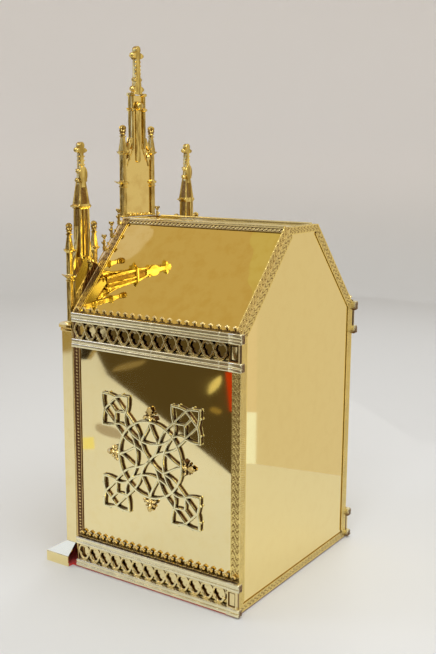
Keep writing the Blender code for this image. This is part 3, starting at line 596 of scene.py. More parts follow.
def beading(s, u, width):
    """Rows of short raised dashes, each row half a step on from the next, and edge fillets."""
    rows = max(3, round(width / 0.0040))
    across = np.clip(u / width, 0, 0.9999) * rows
    row = np.floor(across)
    dash = np.abs(np.cos(pi * (s / 0.0041 + 0.5 * row + 0.3 * wander(s, 1.3)))) ** 0.8
    height = 0.25 + 0.75 * dash * np.sin(pi * (across - row)) ** 0.5
    edge = np.minimum(u, width - u)
    return np.clip(np.maximum(height, np.clip((0.0012 - edge) / 0.0005, 0, 1)), 0, 1)


def chain(s, u, width, pitch=0.0064):
    """Row of round studs on a sunk ground, between a narrow bead and a plain raised fillet."""
    ds = ((s / pitch + 0.10 * wander(s, 2.0) + 0.5) % 1.0 - 0.5) * pitch
    stud = np.clip(1.25 - np.hypot(ds / (0.42 * pitch), (u - 0.42 * width) / (0.22 * width)), 0, 1)
    fillet = np.clip((u - 0.80 * width) / 0.0006, 0, 1)
    edge = np.clip((0.0016 - u) / 0.0005, 0, 1) * 0.75
    return np.maximum(np.maximum(stud, fillet), edge)


def rope(s, u, width, pitch=0.0088):
    """Twisted cord: slanting strands with deep gaps, between two plain fillets."""
    v = (u / width - 0.5) * 2
    strand = np.clip(1.5 * np.abs(np.cos(pi * (s / pitch + 0.50 * v))) - 0.25, 0, 1)
    cord = strand * np.sqrt(np.clip(1 - (v / 0.66) ** 2, 0, 1))
    return np.maximum(cord, np.clip((np.abs(v) - 0.70) / 0.05, 0, 1))


def embossed_bar(edge, legs, y_edge, facing, patterns, thick=0.0019, carve=0.0008, cell=0.0009):
    """Embossed angle or strip along one edge of the outline, with mitred ends.

    legs is (across the wall, across the back); either may be nothing, and each has its own pattern.
    The outer faces are cut down by carve times one minus the pattern's height; facing is 1 for the
    back and -1 for the front.
    """
    wall_leg, back_leg = legs
    length = np.linalg.norm(CORNERS[(edge + 1) % 6] - CORNERS[edge])
    share = np.linspace(0, 1, int(length / cell) + 1)[:, None]
    middle = (share - 0.5) * length
    depth, along, hollow = [], [], []

    def faces(depths, ys, shade):
        for block, values in ((depth, depths), (along, ys), (hollow, shade)):
            block.append(np.broadcast_to(values, (len(share), np.shape(shade)[-1])))

    if wall_leg:
        u = np.linspace(0, wall_leg, int(wall_leg / cell) + 1)[None]
        low = 1 - patterns[0](middle, u, wall_leg)
        faces(carve * low, y_edge - facing * (wall_leg - u), low)
    if back_leg:
        u = np.linspace(0, back_leg, int(back_leg / cell) + 1)[None]
        low = 1 - patterns[1](middle, back_leg - u, back_leg)
        faces(u, y_edge - facing * carve * low, low)
    inner = [(back_leg, thick)] if back_leg else [(thick, 0.0)]
    if back_leg:
        inner.append((thick if wall_leg else 0.0, thick))
    if wall_leg:
        inner.append((thick, wall_leg))
    inner = np.array(inner)
    faces(inner[None, :, 0], y_edge - facing * inner[None, :, 1], np.ones((1, len(inner))))
    depth, along, hollow = (np.concatenate(block, axis=1) for block in (depth, along, hollow))
    share = share[..., None]
    spot = (1 - share) * mitre(edge, depth) + share * mitre(edge + 1, depth)
    return skin(np.stack([spot[..., 0], along, spot[..., 1]], axis=-1), hollow)


def make_trims():
    """Embossed angles round the back and strips at the front, each along one edge of the outline."""
    inner_x, inner_y, _ = corner_of("back_corner_trim_right", 0)
    back_legs = HALF_DEPTH - inner_y, HALF_WIDTH - inner_x
    rake_legs = HALF_DEPTH - corner_of("back_rake_trim_right", 0)[1], back_legs[1]
    front_legs = corner_of("front_side_strip_right", 1)[1] - FRONT_EDGE, 0
    rake_front = corner_of("front_rake_strip_right", 1)[1] - FRONT_EDGE, 0
    rear_pair, front_pair = (acanthus, beading), (chain, chain)
    for name, edge, legs, y_edge, facing, patterns in (
            ("back_corner_trim", WALL, back_legs, HALF_DEPTH, 1, rear_pair),
            ("back_rake_trim", SLOPE, rake_legs, HALF_DEPTH, 1, (acanthus, acanthus)),
            ("front_side_strip", WALL, front_legs, FRONT_EDGE, -1, front_pair),
            ("front_rake_strip", SLOPE, rake_front, FRONT_EDGE, -1, (acanthus, acanthus))):
        part = embossed_bar(edge, legs, y_edge, facing, patterns)
        front_finish = "strip" if edge == WALL else "rake"
        pair_of("embossed", name, [part], "embossed" if facing > 0 else front_finish)
    top_leg = RIDGE - corner_of("back_top_trim", 0)[2]
    sill_leg = corner_of("back_sill_trim", 1)[2] - corner_of("back_sill_trim", 0)[2]
    for node, edge, legs in (("back_top_trim", TOP, (rake_legs[0], top_leg)),
                             ("back_sill_trim", FLOOR, (0, sill_leg))):
        part = embossed_bar(edge, legs, HALF_DEPTH, 1, (acanthus, acanthus))
        piece(f"embossed_{node}", [part], FINISH["embossed"], node)


def make_ridge_rails():
    """Bead and hollow on the edge of the flat top, with a rope-pattern strip down the slope."""
    lo, hi = (np.array(corner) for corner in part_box("ridge_rail_right"))
    _, run, inward = edge_frame(SLOPE)
    x, z = CORNERS[TOP]
    rise, strip, foot = hi[2] - z, 0.0095, 0.0022
    y = np.append(np.arange(lo[1], hi[1], 0.0009), hi[1])[:, None]
    u = np.linspace(0, strip, 12)[None]
    low = 1 - rope(y, u, strip)
    cord = (x, z) - run * (0.0033 + u[..., None]) + inward * (0.0002 + 0.0010 * low[..., None])
    bead = arc((x - 0.0010, z - 0.0004), (0.0026, rise + 0.0004), 160, -30, 9)
    cove = [(x - 0.0090, z - foot), (x - 0.0088, z + 0.0004), (x - 0.0072, z + 0.0010),
            (x - 0.0048, z + 0.0004)]
    under = [(x, z) - run * (0.0033 + strip) + inward * foot, (x - 0.0005, z - foot)]
    top_line = np.concatenate([cove, bead])
    count = len(y)
    outline = np.concatenate([np.broadcast_to(top_line, (count, *top_line.shape)), cord,
                              np.broadcast_to(under, (count, 2, 2))], axis=1)
    shade = np.concatenate([np.tile([0.3, 0.1, 0.0, 0.2] + [0.0] * len(bead), (count, 1)), low,
                            np.ones((count, 2))], axis=1)
    rings = np.stack([outline[..., 0], np.broadcast_to(y, outline.shape[:2]), outline[..., 1]], axis=-1)
    pair_of("moulded", "ridge_rail", [skin(rings, shade)], "ridge")


# ---- sheets -------------------------------------------------------------------------------
def make_sheets():
    """The flat sheets keep their shape from the frame and take the buffed finishes."""
    for node, finish in (("side_panel_right", "side sheet"), ("side_panel_left", "side sheet"),
                         ("roof_slope_right", "roof sheet"), ("roof_slope_left", "roof sheet"),
                         ("roof_top_plate", "roof sheet"), ("back_panel", "back sheet"),
                         ("floor_plate", "plain sheet"), ("front_plate", "front sheet"),
                         ("door_right", "plain sheet"), ("door_left", "plain sheet"),
                         ("hinge_right", "plain sheet"), ("hinge_left", "plain sheet")):
        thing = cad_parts[node]
        thing.data.materials.clear()
        thing.data.materials.append(FINISH[finish])


# ---- pierced cross on each side -----------------------------------------------------------
def quarter_turns(path):
    """A plane path at 0, 90, 180 and 270 degrees about the middle."""
    turns = []
    for quarter in range(4):
        angle = quarter * pi / 2
        turns.append(path @ np.array([[cos(angle), sin(angle)], [-sin(angle), cos(angle)]]))
    return turns


def bracket(half, dip, steps=10):
    """One side of a bracketed square: two round lobes between its corners and a cusp midway."""
    x = np.linspace(-1, 1, 2 * steps + 1)
    away = np.abs(x)
    return np.stack([x * half, half - dip * (1 - away) + 0.42 * dip * np.sin(pi * away)], axis=-1)


def cross_paths(ring):
    """The cross's interlaced bars: closed and open paths in the plane of the side, about its middle.

    A ring, four arcs of the ring's own radius that meet on its diagonals, a pair of strands that
    cross at the middle and run out along each diagonal arm, and leaf tips inside the ring.
    """
    circle = arc((0, 0), ring, 0, 360, 96)[:-1]
    inner_arc = arc((0, sqrt(2) * ring), ring, -137, -43, 28)
    u = np.linspace(0.0, 0.0945, 34)
    rise = np.clip((u - 0.010) / 0.057, 0, 1)
    v = 0.0188 * rise ** 2 * (3 - 2 * rise)
    strand = np.stack([u - v, u + v], axis=-1) / sqrt(2)
    tip = bezier((0.0180, 0.0334), (0.0150, 0.044), (0.004, 0.054), (0, ring), 12)
    opened = quarter_turns(inner_arc)
    for path in (strand, tip):
        opened += quarter_turns(path) + quarter_turns(path * (-1, 1))
    return circle, opened


def head_paths(ring):
    """One head of the cross, about the middle: a bracketed outline that stops at the cusps where the
    arm enters, three sides of a diamond, a cornered fourth side with a spur, and the arm's tip."""
    half, dip = 0.0300, 0.0036
    centre = np.array((1.0, 1.0)) * (ring / sqrt(2) + 0.0295)
    cusp = 0.95 * (half - dip)
    top = bracket(half, dip)
    right = top[::-1, ::-1]
    inner_left = (top * (1, -1))[:, ::-1][::-1]
    halfway = len(top) // 2
    left = inner_left[:halfway + 1] if inner_left[0, 1] > 0 else inner_left[halfway:][::-1]
    bottom = left[:, ::-1]
    outline = np.concatenate([left[::-1], top[1:], right[1:], bottom[1:]])
    diamond = np.array([(-cusp, 0), (0, cusp), (cusp, 0), (0, -cusp)], float)
    lines = [np.linspace(diamond[k], diamond[k + 1], 6) for k in range(3)]
    lines.append(np.linspace((-0.10, -0.10), (0.48, 0.48), 6) * cusp)
    side = bezier((-1, 0), (-0.70, -0.10), (-0.12, 0.02), (-0.08, -0.08), 8) * cusp
    bulge = np.concatenate([side, side[-2::-1, ::-1]])
    kiss = np.array((1.0, 1.0)) * ring / sqrt(2) - centre
    tip = bezier(kiss, (-0.92 * cusp, -0.80 * cusp), (-0.86 * cusp, -0.40 * cusp), (-cusp, 0), 10)
    buds = [(-half, half), (half, half), (-0.5 * half, half + 0.0016), (0.5 * half, half + 0.0016)]
    buds = 1.03 * np.array(buds + [(b, a) for a, b in buds if a != b])
    return centre, outline, lines + [bulge, tip, tip[:, ::-1]], buds


def flat_fleuron(root, direction, size, base, to_side):
    """Lily lying on a face: a collar, a plump middle bud and two leaves that scroll back."""
    out = np.array(direction, float)
    side = np.array((-out[1], out[0]))
    up = to_side(0, 0, 1) - to_side(0, 0, 0)

    def way(vector):
        return to_side(vector[0], vector[1], 0) - to_side(0, 0, 0)

    def spot(along, across=0.0, above=0.0):
        a, b = np.array(root) + out * along * size + side * across * size
        return to_side(a, b, base + above * size)

    parts = [leaf(spot(0.00, 0, 0.08), way(out), up, 0.46 * size, 0.24 * size, curl=0.2, thick=0.7),
             leaf(spot(0.34, 0, 0.10), way(out), up, 0.66 * size, 0.44 * size, curl=0.4, bulb=0.45,
                  thick=0.6), ball(spot(0.30, 0, 0.16), 0.12 * size, axis=up, squash=0.8),
             ball(spot(0.96, 0, 0.16), 0.075 * size, axis=up, squash=0.8)]
    for hand in (1, -1):
        scroll_way = way(0.80 * out + 0.60 * hand * side)
        back = way(0.69 * hand * side - 0.72 * out)
        parts += [leaf(spot(0.22, 0.03 * hand, 0.12), scroll_way, back, 0.66 * size, 0.26 * size, curl=1.9,
                       bulb=0.6, thick=0.9, lobes=0.28, stations=12),
                  leaf(spot(0.42, 0.10 * hand, 0.10), way(0.9 * out + 0.5 * hand * side), back, 0.42 * size,
                       0.18 * size, curl=0.9, bulb=0.5, thick=0.9),
                  ball(spot(0.30, 0.36 * hand, 0.16), 0.095 * size, axis=up, squash=0.8),
                  ball(spot(0.20, 0.13 * hand, 0.12), 0.07 * size, axis=up, squash=0.8)]
    return parts


def make_crosses():
    """Pierced cross: a ring, arcs and strands, a head on each diagonal arm and a lily on each axis."""
    lo, hi = (np.array(corner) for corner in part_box("side_cross_right"))
    _, cy, cz = (lo + hi) / 2
    foot, top = lo[0], hi[0]
    ring = 0.0722

    def to_side(a, b, c):
        return on_side(np.asarray(a) + cy, np.asarray(b) + cz, c)

    circle, opened = cross_paths(ring)
    parts = [lattice_bar(circle, 0.0052, (foot, top), to_side, loop=True)]
    parts += [lattice_bar(path, 0.0048, (foot, top - 0.0002 - 0.0001 * (k % 3)), to_side)
              for k, path in enumerate(opened)]
    centre, outline, inner, buds = head_paths(ring)
    for spin in ((1, 1), (-1, 1), (-1, -1), (1, -1)):
        parts.append(lattice_bar((outline + centre) * spin, 0.0050, (foot, top), to_side))
        parts += [lattice_bar((path + centre) * spin, 0.0045, (foot, top - 0.0003 - 0.0001 * (k % 2)),
                  to_side)
                  for k, path in enumerate(inner)]
        for a, b in (buds + centre) * spin:
            parts.append(ball(to_side(a, b, (foot + top) / 2 + 0.0002), 0.0024, axis=(1, 0, 0), sides=8,
                              hollow=0.2))
    lilies = []
    for direction in ((0, 1), (1, 0), (0, -1), (-1, 0)):
        lilies += browned(flat_fleuron(np.array(direction) * ring, direction, 0.0275, foot, to_side), 0.30)
    pair_of("interlaced", "side_cross", parts, "lattice")
    pair_of("lilies_of", "side_cross", lilies, "crest", stands_in=False)


# ---- side galleries: moulded rails, pierced tracery and cresting -----------------------------
END_BLOCK = 0.0202


def rail_section(inner, outer, low, high, beads):
    """Rail profile in (x, z): round beads up its face, with thin quirks between them painted dark as shade.

    beads are (height share, reach share, hollow) from the foot upward; each is half an ellipse.
    """
    depth, tall = outer - inner, high - low
    line, shade, z = [(inner, low)], [1.0], low
    for share, reach, dark in beads:
        height = share * tall
        angle = np.radians(np.linspace(-82, 82, 8))
        x = inner + depth * reach - 0.16 * height * (1 - np.cos(angle)) ** 1.5
        line += list(zip(x, z + height / 2 * (1 + np.sin(angle))))
        # Painted shade: each bead browns at its edges, most at its foot.
        shade += [min(1.0, dark + 0.40)] + [dark] * 6 + [min(1.0, dark + 0.20)]
        z += height
        quirk = inner + depth * min(reach, 0.80) - 0.0022
        if z < high - 1e-6:
            line += [(quirk, z - 0.0001), (quirk, z + 0.0001)]
            shade += [0.75, 0.75]
    line.append((inner, high))
    return np.array(line), np.array(shade + [0.4])


def along_y(line, stations, hollow=0.0):
    """A closed (x, z) profile carried along Y: stations are (y, growth about its middle)."""
    middle = (line.max(axis=0) + line.min(axis=0)) / 2
    rings = []
    for y, growth in stations:
        ring = middle + (line - middle) * growth
        rings.append(np.stack([ring[:, 0], np.full(len(ring), y), ring[:, 1]], axis=-1))
    return skin(rings, hollow)


BEADS = {
    # Painted shade: the upper rail's middle bead, set back, is browner.
    "upper_rail": ((0.36, 0.92, 0.0), (0.22, 0.84, 0.50), (0.42, 1.0, 0.0)),
    "lower_rail": ((0.44, 1.0, 0.0), (0.56, 0.92, 0.0)),
}


def make_rail(node, kind, y_front, y_block, y_end):
    """Rail along a gallery, with narrow ring collars on it and a stepped, rounded end behind."""
    (inner, _, low), (outer, _, high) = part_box(node)
    line, shade = rail_section(inner, outer - 0.0010, low + 0.0004, high - 0.0004, BEADS[kind])
    parts = [along_y(line, [(y_front, 1), (y_block, 1)], shade)]
    full, full_shade = rail_section(inner, outer, low, high, BEADS[kind])
    soft = 0.0040
    steps = [(y_block, 0.97), (y_block + 0.0004, 1), (y_end - soft, 1), (y_end - 0.6 * soft, 0.97),
             (y_end - 0.25 * soft, 0.88), (y_end, 0.70)]
    # The rounded end browns more and more towards its tip.
    brown_amount = np.array([0.0, 0.0, 0.2, 0.50, 0.75, 0.90])[:, None]
    parts.append(along_y(full, steps, np.maximum(full_shade, brown_amount)))
    for share in (0.060, 0.535, 0.945):
        y = y_front + share * (y_block - y_front)
        grown = [(y + 0.0013 * cos(t), 0.985 + 0.055 * sin(t)) for t in np.linspace(pi, 0, 7)]
        parts.append(along_y(line, grown, np.maximum(shade, 0.42)))
    return parts


def strand_height(s):
    """Height of the two strands across a cell, -0.5 to 0.5: a round arch above, a narrower one below."""
    bow = np.clip(np.cos(pi * s), 0, 1)
    return bow ** 0.58, -bow ** 0.80


def lens_radius(angle, half_width, half_height):
    """Distance from a cell's middle to its strands along each angle, found by halving."""
    near, far = np.zeros_like(angle), np.full_like(angle, half_width + half_height)
    for _ in range(30):
        middle = (near + far) / 2
        s = np.clip(middle * np.cos(angle) / (2 * half_width), -0.5, 0.5)
        above, below = strand_height(s)
        z = middle * np.sin(angle) / half_height
        inside = (z < above) & (z > below) & (np.abs(middle * np.cos(angle)) < half_width)
        near, far = np.where(inside, middle, near), np.where(inside, far, middle)
    return near


def make_tracery(node, low, high, y_front, y_back, block, cells=13):
    """Pierced band: two interlacing strands, a thin cusped ring with a trefoil opening in each cell,
    and at the back end a block with a sunk panel."""
    (inner, _, _), (outer, _, _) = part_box(node)
    foot, face = inner + 0.0004, inner + 0.0034
    pitch = (y_back - y_front) / cells
    middle, half = (low + high) / 2, (high - low) / 2 - 0.0004
    parts = []
    s = np.linspace(-0.5, 0.5, 17)
    for start in (0, 1):
        path = []
        for cell in range(cells):
            y = y_front + (cell + 0.5) * pitch
            above, below = strand_height(s)
            z = middle + half * (above if (cell + start) % 2 == 0 else below)
            path.append(np.stack([y + s * pitch, z], axis=-1)[:-1])
        parts.append(lattice_bar(np.concatenate(path), 0.0037, (foot, face - 0.0003 * start), on_side))
    angle = np.linspace(0, 2 * pi, 49)[:-1]
    lens = np.minimum(lens_radius(angle, pitch / 2, half) + 0.0002, half)
    trefoil = 0.0070 + 0.0050 * np.abs(np.cos(1.5 * (angle - pi / 6))) ** 0.8
    trefoil = np.minimum(trefoil, lens - 0.0014)
    plate_face = face - 0.0010
    steps = ((0.0, foot, 1.0), (0.0, plate_face - 0.0004, 0.8), (0.5, plate_face, 0.45),
             (0.9, plate_face, 0.55), (1.0, plate_face - 0.0004, 0.9), (1.0, foot, 1.0))
    for cell in range(cells):
        y = y_front + (cell + 0.5) * pitch
        rings = []
        for share, depth, _ in steps:
            radius = lens + (trefoil - lens) * share
            rings.append(on_side(y + radius * np.cos(angle), middle + radius * np.sin(angle), depth))
        parts.append(skin(rings, np.array([[step[2]] * len(angle) for step in steps]), loop=True))
    y0, y1 = block
    steps = ((0.0, inner, 1), (0.0, outer - 0.0006, 0.5), (0.0005, outer, 0), (0.0026, outer, 0),
             (0.0030, outer - 0.0032, 1), (0.0044, outer - 0.0034, 0.9), (0.0050, outer - 0.0018, 0.2),
             (0.0060, outer - 0.0014, 0.1))
    parts.append(stepped_plate(rectangle(y0, y1, low, high), steps, on_side))
    return parts


def crest_leaf(y, base_x, low, high, lean):
    """One leaf of the cresting: a stalk, a round head and two lobes that droop beside it."""
    tall = high - low

    def spot(across, up, out=0.0):
        return np.array((base_x + lean * up + out * tall, y + across * tall, low + up * tall))

    stalk = [(0.0, 0.24 * tall), (0.10 * tall, 0.15 * tall), (0.60 * tall, 0.12 * tall)]
    # Painted shade: the stalk, the low ball and the lobes at the foot are browner than the head.
    parts = [turned(stalk, spot(0, 0), (lean, 0, tall), sides=6, hollow=[1.0, 0.9, 0.6]),
             ball(spot(0.0, 0.74), 0.26 * tall, sides=8, hollow=0.08),
             ball(spot(0.0, 0.46, 0.14), 0.20 * tall, sides=6, hollow=0.6)]
    for hand in (1, -1):
        parts.append(ball(spot(0.27 * hand, 0.60), 0.22 * tall, sides=8, hollow=0.22))
        parts.append(ball(spot(0.36 * hand, 0.04), 0.18 * tall, sides=6, hollow=0.62))
    return parts


def make_cresting(node, split):
    """Row of small leaves on a scalloped strip, with a slightly wider gap where two strips meet."""
    (inner, y0, low), (outer, y1, high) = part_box(node)
    count, gap = 22, 0.0035
    pitch = (y1 - y0 - gap) / count
    parts = []
    base_x = inner + 0.42 * (outer - inner)
    lean = outer - base_x - 0.20 * (high - low)
    for k in range(count):
        y = y0 + (k + 0.5) * pitch + (gap if k >= split else 0.0)
        parts += crest_leaf(y, base_x, low + 0.0012, high - 0.0002, lean)
    wave = np.linspace(y0, y1, 8 * count + 1)
    top = low + 0.0016 + 0.0012 * np.abs(np.sin(pi * (wave - y0) / pitch))
    strip = np.array([(-0.0016, 0), (0.0016, 0), (0.0016, 1), (-0.0016, 1)])
    rings = np.stack([np.broadcast_to(base_x + strip[None, :, 0], (len(wave), 4)),
                      np.broadcast_to(wave[:, None], (len(wave), 4)),
                      low + (top[:, None] - low) * strip[None, :, 1]], axis=-1)
    # Painted shade: the scalloped strip browns towards its foot.
    parts.append(skin(rings, np.array([0.9, 0.9, 0.3, 0.3])))
    return parts


def make_galleries():
    """Two rails with pierced tracery between them and cresting above, at the base and at the eaves."""
    for level, split in (("base", 15), ("eave", 14)):
        low = corner_of(f"{level}_lower_rail_right", 1)[2] - 0.0004
        high = corner_of(f"{level}_upper_rail_right", 0)[2] + 0.0004
        _, y_front, _ = corner_of(f"{level}_tracery_right", 0)
        _, block_end, _ = corner_of(f"{level}_tracery_right", 1)
        _, y_end, _ = corner_of(f"{level}_upper_rail_right", 1)
        block = (block_end - END_BLOCK, block_end)
        made = {}
        for rail in ("lower_rail", "upper_rail"):
            made[rail] = (make_rail(f"{level}_{rail}_right", rail, y_front, block[0], y_end), "rail")
        tracery = make_tracery(f"{level}_tracery_right", low, high, y_front + 0.0010, block[0] - 0.0075,
                               block)
        made["tracery"] = (tracery, f"{level} tracery")
        made["cresting"] = (make_cresting(f"{level}_cresting_right", split), "crest")
        for name, (parts, finish) in made.items():
            pair_of("cast", f"{level}_{name}", parts, finish)


# ---- towers, pinnacles and the gable's crest ------------------------------------------------
CENTRE_SHAFT = 0.0055
SIDE_SHAFT = 0.0050
TOWER_X = corner_of("tower_right", 0)[0] + 0.0240
PLANE_Y = corner_of("tower_centre_pinnacle_right", 1)[1] - CENTRE_SHAFT
RELIEF_BACK = corner_of("tower_right_inner_pinnacle", 1)[1]
PLATE_BACK = corner_of("front_plate", 1)[1]
PIER_TOP = corner_of("buttress_right", 1)[2]


def plate(outline, near, far, to_world, edge=0.0006, hollow=(0.5, 0.0)):
    """Flat plate between two depths with its far and near edges eased."""
    turn = np.sign(far - near)
    steps = ((edge, near, hollow[0]), (0.0, near + turn * edge, hollow[0]),
             (0.0, far - turn * edge, hollow[1]), (edge, far, hollow[1]))
    return stepped_plate(outline, steps, to_world)


def beak(root, out, length, width, tall, hollow=0.1):
    """Pointed spout: a half round, flat on top, that narrows and rises slightly to its point."""
    out = np.array(Vector(out).normalized())
    across = np.cross((0, 0, 1), out)
    t = np.linspace(0, 1, 7)[:, None, None]
    size = (1 - t) ** 0.75 + 0.04
    angle = np.linspace(pi, 2 * pi, 7)
    half = np.stack([np.cos(angle) * width / 2, np.sin(angle) * tall], axis=-1)
    section = np.concatenate([half, [(0.25 * width, 0.0006), (-0.25 * width, 0.0006)]])[None]
    rings = np.asarray(root) + t * length * out + section[..., :1] * size * across
    rings[..., 2] += (section[..., 1] * size[..., 0]) + 0.12 * length * t[..., 0] ** 2
    return skin(rings, hollow)


def leafy_tip(x, y, low, high, radius):
    """Finial of a pinnacle: a collar, a crown of four leaves that curl out, and a bud."""
    tall = high - low
    profile = [(0, 0.50 * radius), (0.10 * tall, 0.64 * radius), (0.20 * tall, 0.54 * radius),
               (0.45 * tall, 0.68 * radius), (0.64 * tall, 0.36 * radius), (0.72 * tall, 0.52 * radius),
               (0.84 * tall, 0.62 * radius), (0.95 * tall, 0.40 * radius), (tall, 0.08 * radius)]
    parts = [turned(profile, (x, y, low), sides=10, hollow=[0.9, 0.5, 1.0, 0.8, 0.9, 0, 0, 0, 0])]
    for share, reach, turn in ((0.10, 0.78, 0), (0.36, 0.80, 1)):
        for k in range(4):
            angle = k * pi / 2 + turn * pi / 4
            out = (cos(angle), sin(angle), 0.35)
            parts.append(leaf((x, y, low + share * tall), out, (0, 0, 1), 1.25 * reach * radius,
                         0.85 * radius, curl=1.6, bulb=0.5, thick=0.6, stations=7))
    return parts


def pinnacle(x, half, levels, outward, y=None):
    """Square shaft with rolls on its corners, a beaked set-off, a moulded cap and a leafy tip."""
    y = PLANE_Y if y is None else y
    foot, spout, cap, tip = levels
    rolled, smooth = rolled_square(0.14, 0.08), rounded_square(0.20)
    shade = np.where(np.max(np.abs(rolled), axis=1) < 0.93, 0.62, 0.0)
    centre = (x, y)

    def stage(steps, plan, hollow=0.0):
        return shaft([(z, half * r, -half * r, half * r) for z, r in steps], plan, centre, hollow)

    crown = tip - 0.0185
    parts = [stage([(foot, 1.2), (foot + 0.0030, 1.2), (foot + 0.0042, 1.02)], smooth),
             stage([(foot + 0.0030, 1.0), (spout - 0.0070, 1.0)], rolled, shade),
             stage([(spout - 0.0090, 1.0), (spout - 0.0076, 1.22), (spout - 0.0064, 1.22),
                   (spout - 0.0052, 1.0),
                    (spout - 0.0030, 1.05), (spout - 0.0008, 1.5), (spout + 0.0016, 1.5),
                    (spout + 0.0022, 1.25), (spout + 0.0050, 0.96)], smooth),
             stage([(spout + 0.0040, 0.94), (cap - 0.0030, 0.92)], rolled, shade),
             stage([(cap - 0.0042, 0.92), (cap - 0.0026, 1.1), (cap, 1.6), (cap + 0.0024, 1.65),
                   (cap + 0.0034, 1.2), (cap + 0.0045, 1.20)], smooth),
             stage([(cap + 0.0040, 1.18), (crown - 0.0050, 0.62)], rolled, shade),
             stage([(crown - 0.0056, 0.60), (crown - 0.0044, 0.90), (crown - 0.0024, 0.90),
                   (crown - 0.0010, 0.56), (crown + 0.0010, 0.56)], smooth, 0.5)]
    parts += leafy_tip(x, y, crown, tip, 1.85 * half)
    for out, reach, short in (((outward, 0, 0), 1.9, 0.8), ((0, -1, 0), 3.3, 1.7)):
        root = (x + out[0] * half * 1.1, y + out[1] * half * 1.1, spout + 0.0014)
        parts.append(beak(root, out, reach * half, 2.4 * half, 0.0050))
        root = (x + out[0] * half * 1.3, y + out[1] * half * 1.3, cap + 0.0020)
        parts.append(beak(root, out, short * half, 2.1 * half, 0.0034))
    parts.append(ball((x - outward * 1.2 * half, y, spout), 0.62 * half, sides=8, hollow=0.1))
    return parts


def lobed_outline(base, lobes, steps=120):
    """Symmetric outline: half width against height from a straight-sided base, widened by lobes.

    Each lobe is half an ellipse (height of its middle, reach, half height); the widest wins.
    """
    base = np.array(base)
    z = np.linspace(base[0, 0], base[-1, 0], steps)
    half = np.interp(z, base[:, 0], base[:, 1])
    for middle, reach, tall in lobes:
        half = np.maximum(half, reach * np.sqrt(np.clip(1 - ((z - middle) / tall) ** 2, 0, 1)))
    right = np.stack([half, z], axis=-1)
    return np.concatenate([right, (right * (-1, 1))[::-1]])


def half_relief(outline, x, back, front):
    """Casting that is flat behind and rounded off in front, over an outline centred on x."""
    outline = outline + (x, 0)
    # Painted shade: the rounded sides brown towards the middle of their depth.
    steps = ((0.0006, back, 0.0), (0.0, back - 0.0008, 0.0), (0.0, back - 0.0020, 0.35),
             (0.0, (back + front) / 2, 0.60), (0.0004, front + 0.0020, 0.35), (0.0015, front, 0.0))
    return stepped_plate(outline, steps, on_front)


def crockets(x, y, low, high, count, size, back):
    """Small curled leaves up both edges and the front of a stem."""
    parts = []
    for k in range(count):
        z = low + (high - low) * (k + 0.35) / count
        for wx, wy in ((1, 0), (-1, 0), (0, -1)):
            depth = y if wy else (y + back) / 2
            parts.append(leaf((x + 0.0030 * wx, depth + 0.0030 * wy, z), (wx, wy, 0.6), (wx, wy, -1.2), size,
                              0.95 * size, curl=0.9, bulb=0.7, thick=0.9, stations=6, sides=6))
    return parts


def web(x, reach, low, high, side, core):
    """Curved stay from the spire's core down to a pinnacle: straight outside, hollow-curved inside."""
    tall = high - low
    curve = bezier((core, high), (core + 0.001, low + 0.60 * tall), (0.74 * reach, low + 0.42 * tall),
                   (reach, low + 0.20 * tall), 14)
    foot = [(reach, low + 0.10 * tall), (0.72 * reach, low + 0.16 * tall), (core - 0.003, low + 0.36 * tall)]
    outline = np.concatenate([curve, foot, [(core - 0.003, high)]])
    outline = outline * (side, 1) + (x, 0)
    rim = curve * (side, 1) + (x, 0)
    return [plate(outline, PLANE_Y - 0.0034, PLANE_Y + 0.0030, on_front, 0.0009, (0.2, 0.2)),
            bar(rim[:-1], 0.0042, (PLANE_Y, PLANE_Y + 0.0046), on_front, crown=0.35, dark=0.6),
            bar(rim[:-1], 0.0042, (PLANE_Y, PLANE_Y - 0.0060), on_front, crown=0.35, dark=0.6)]


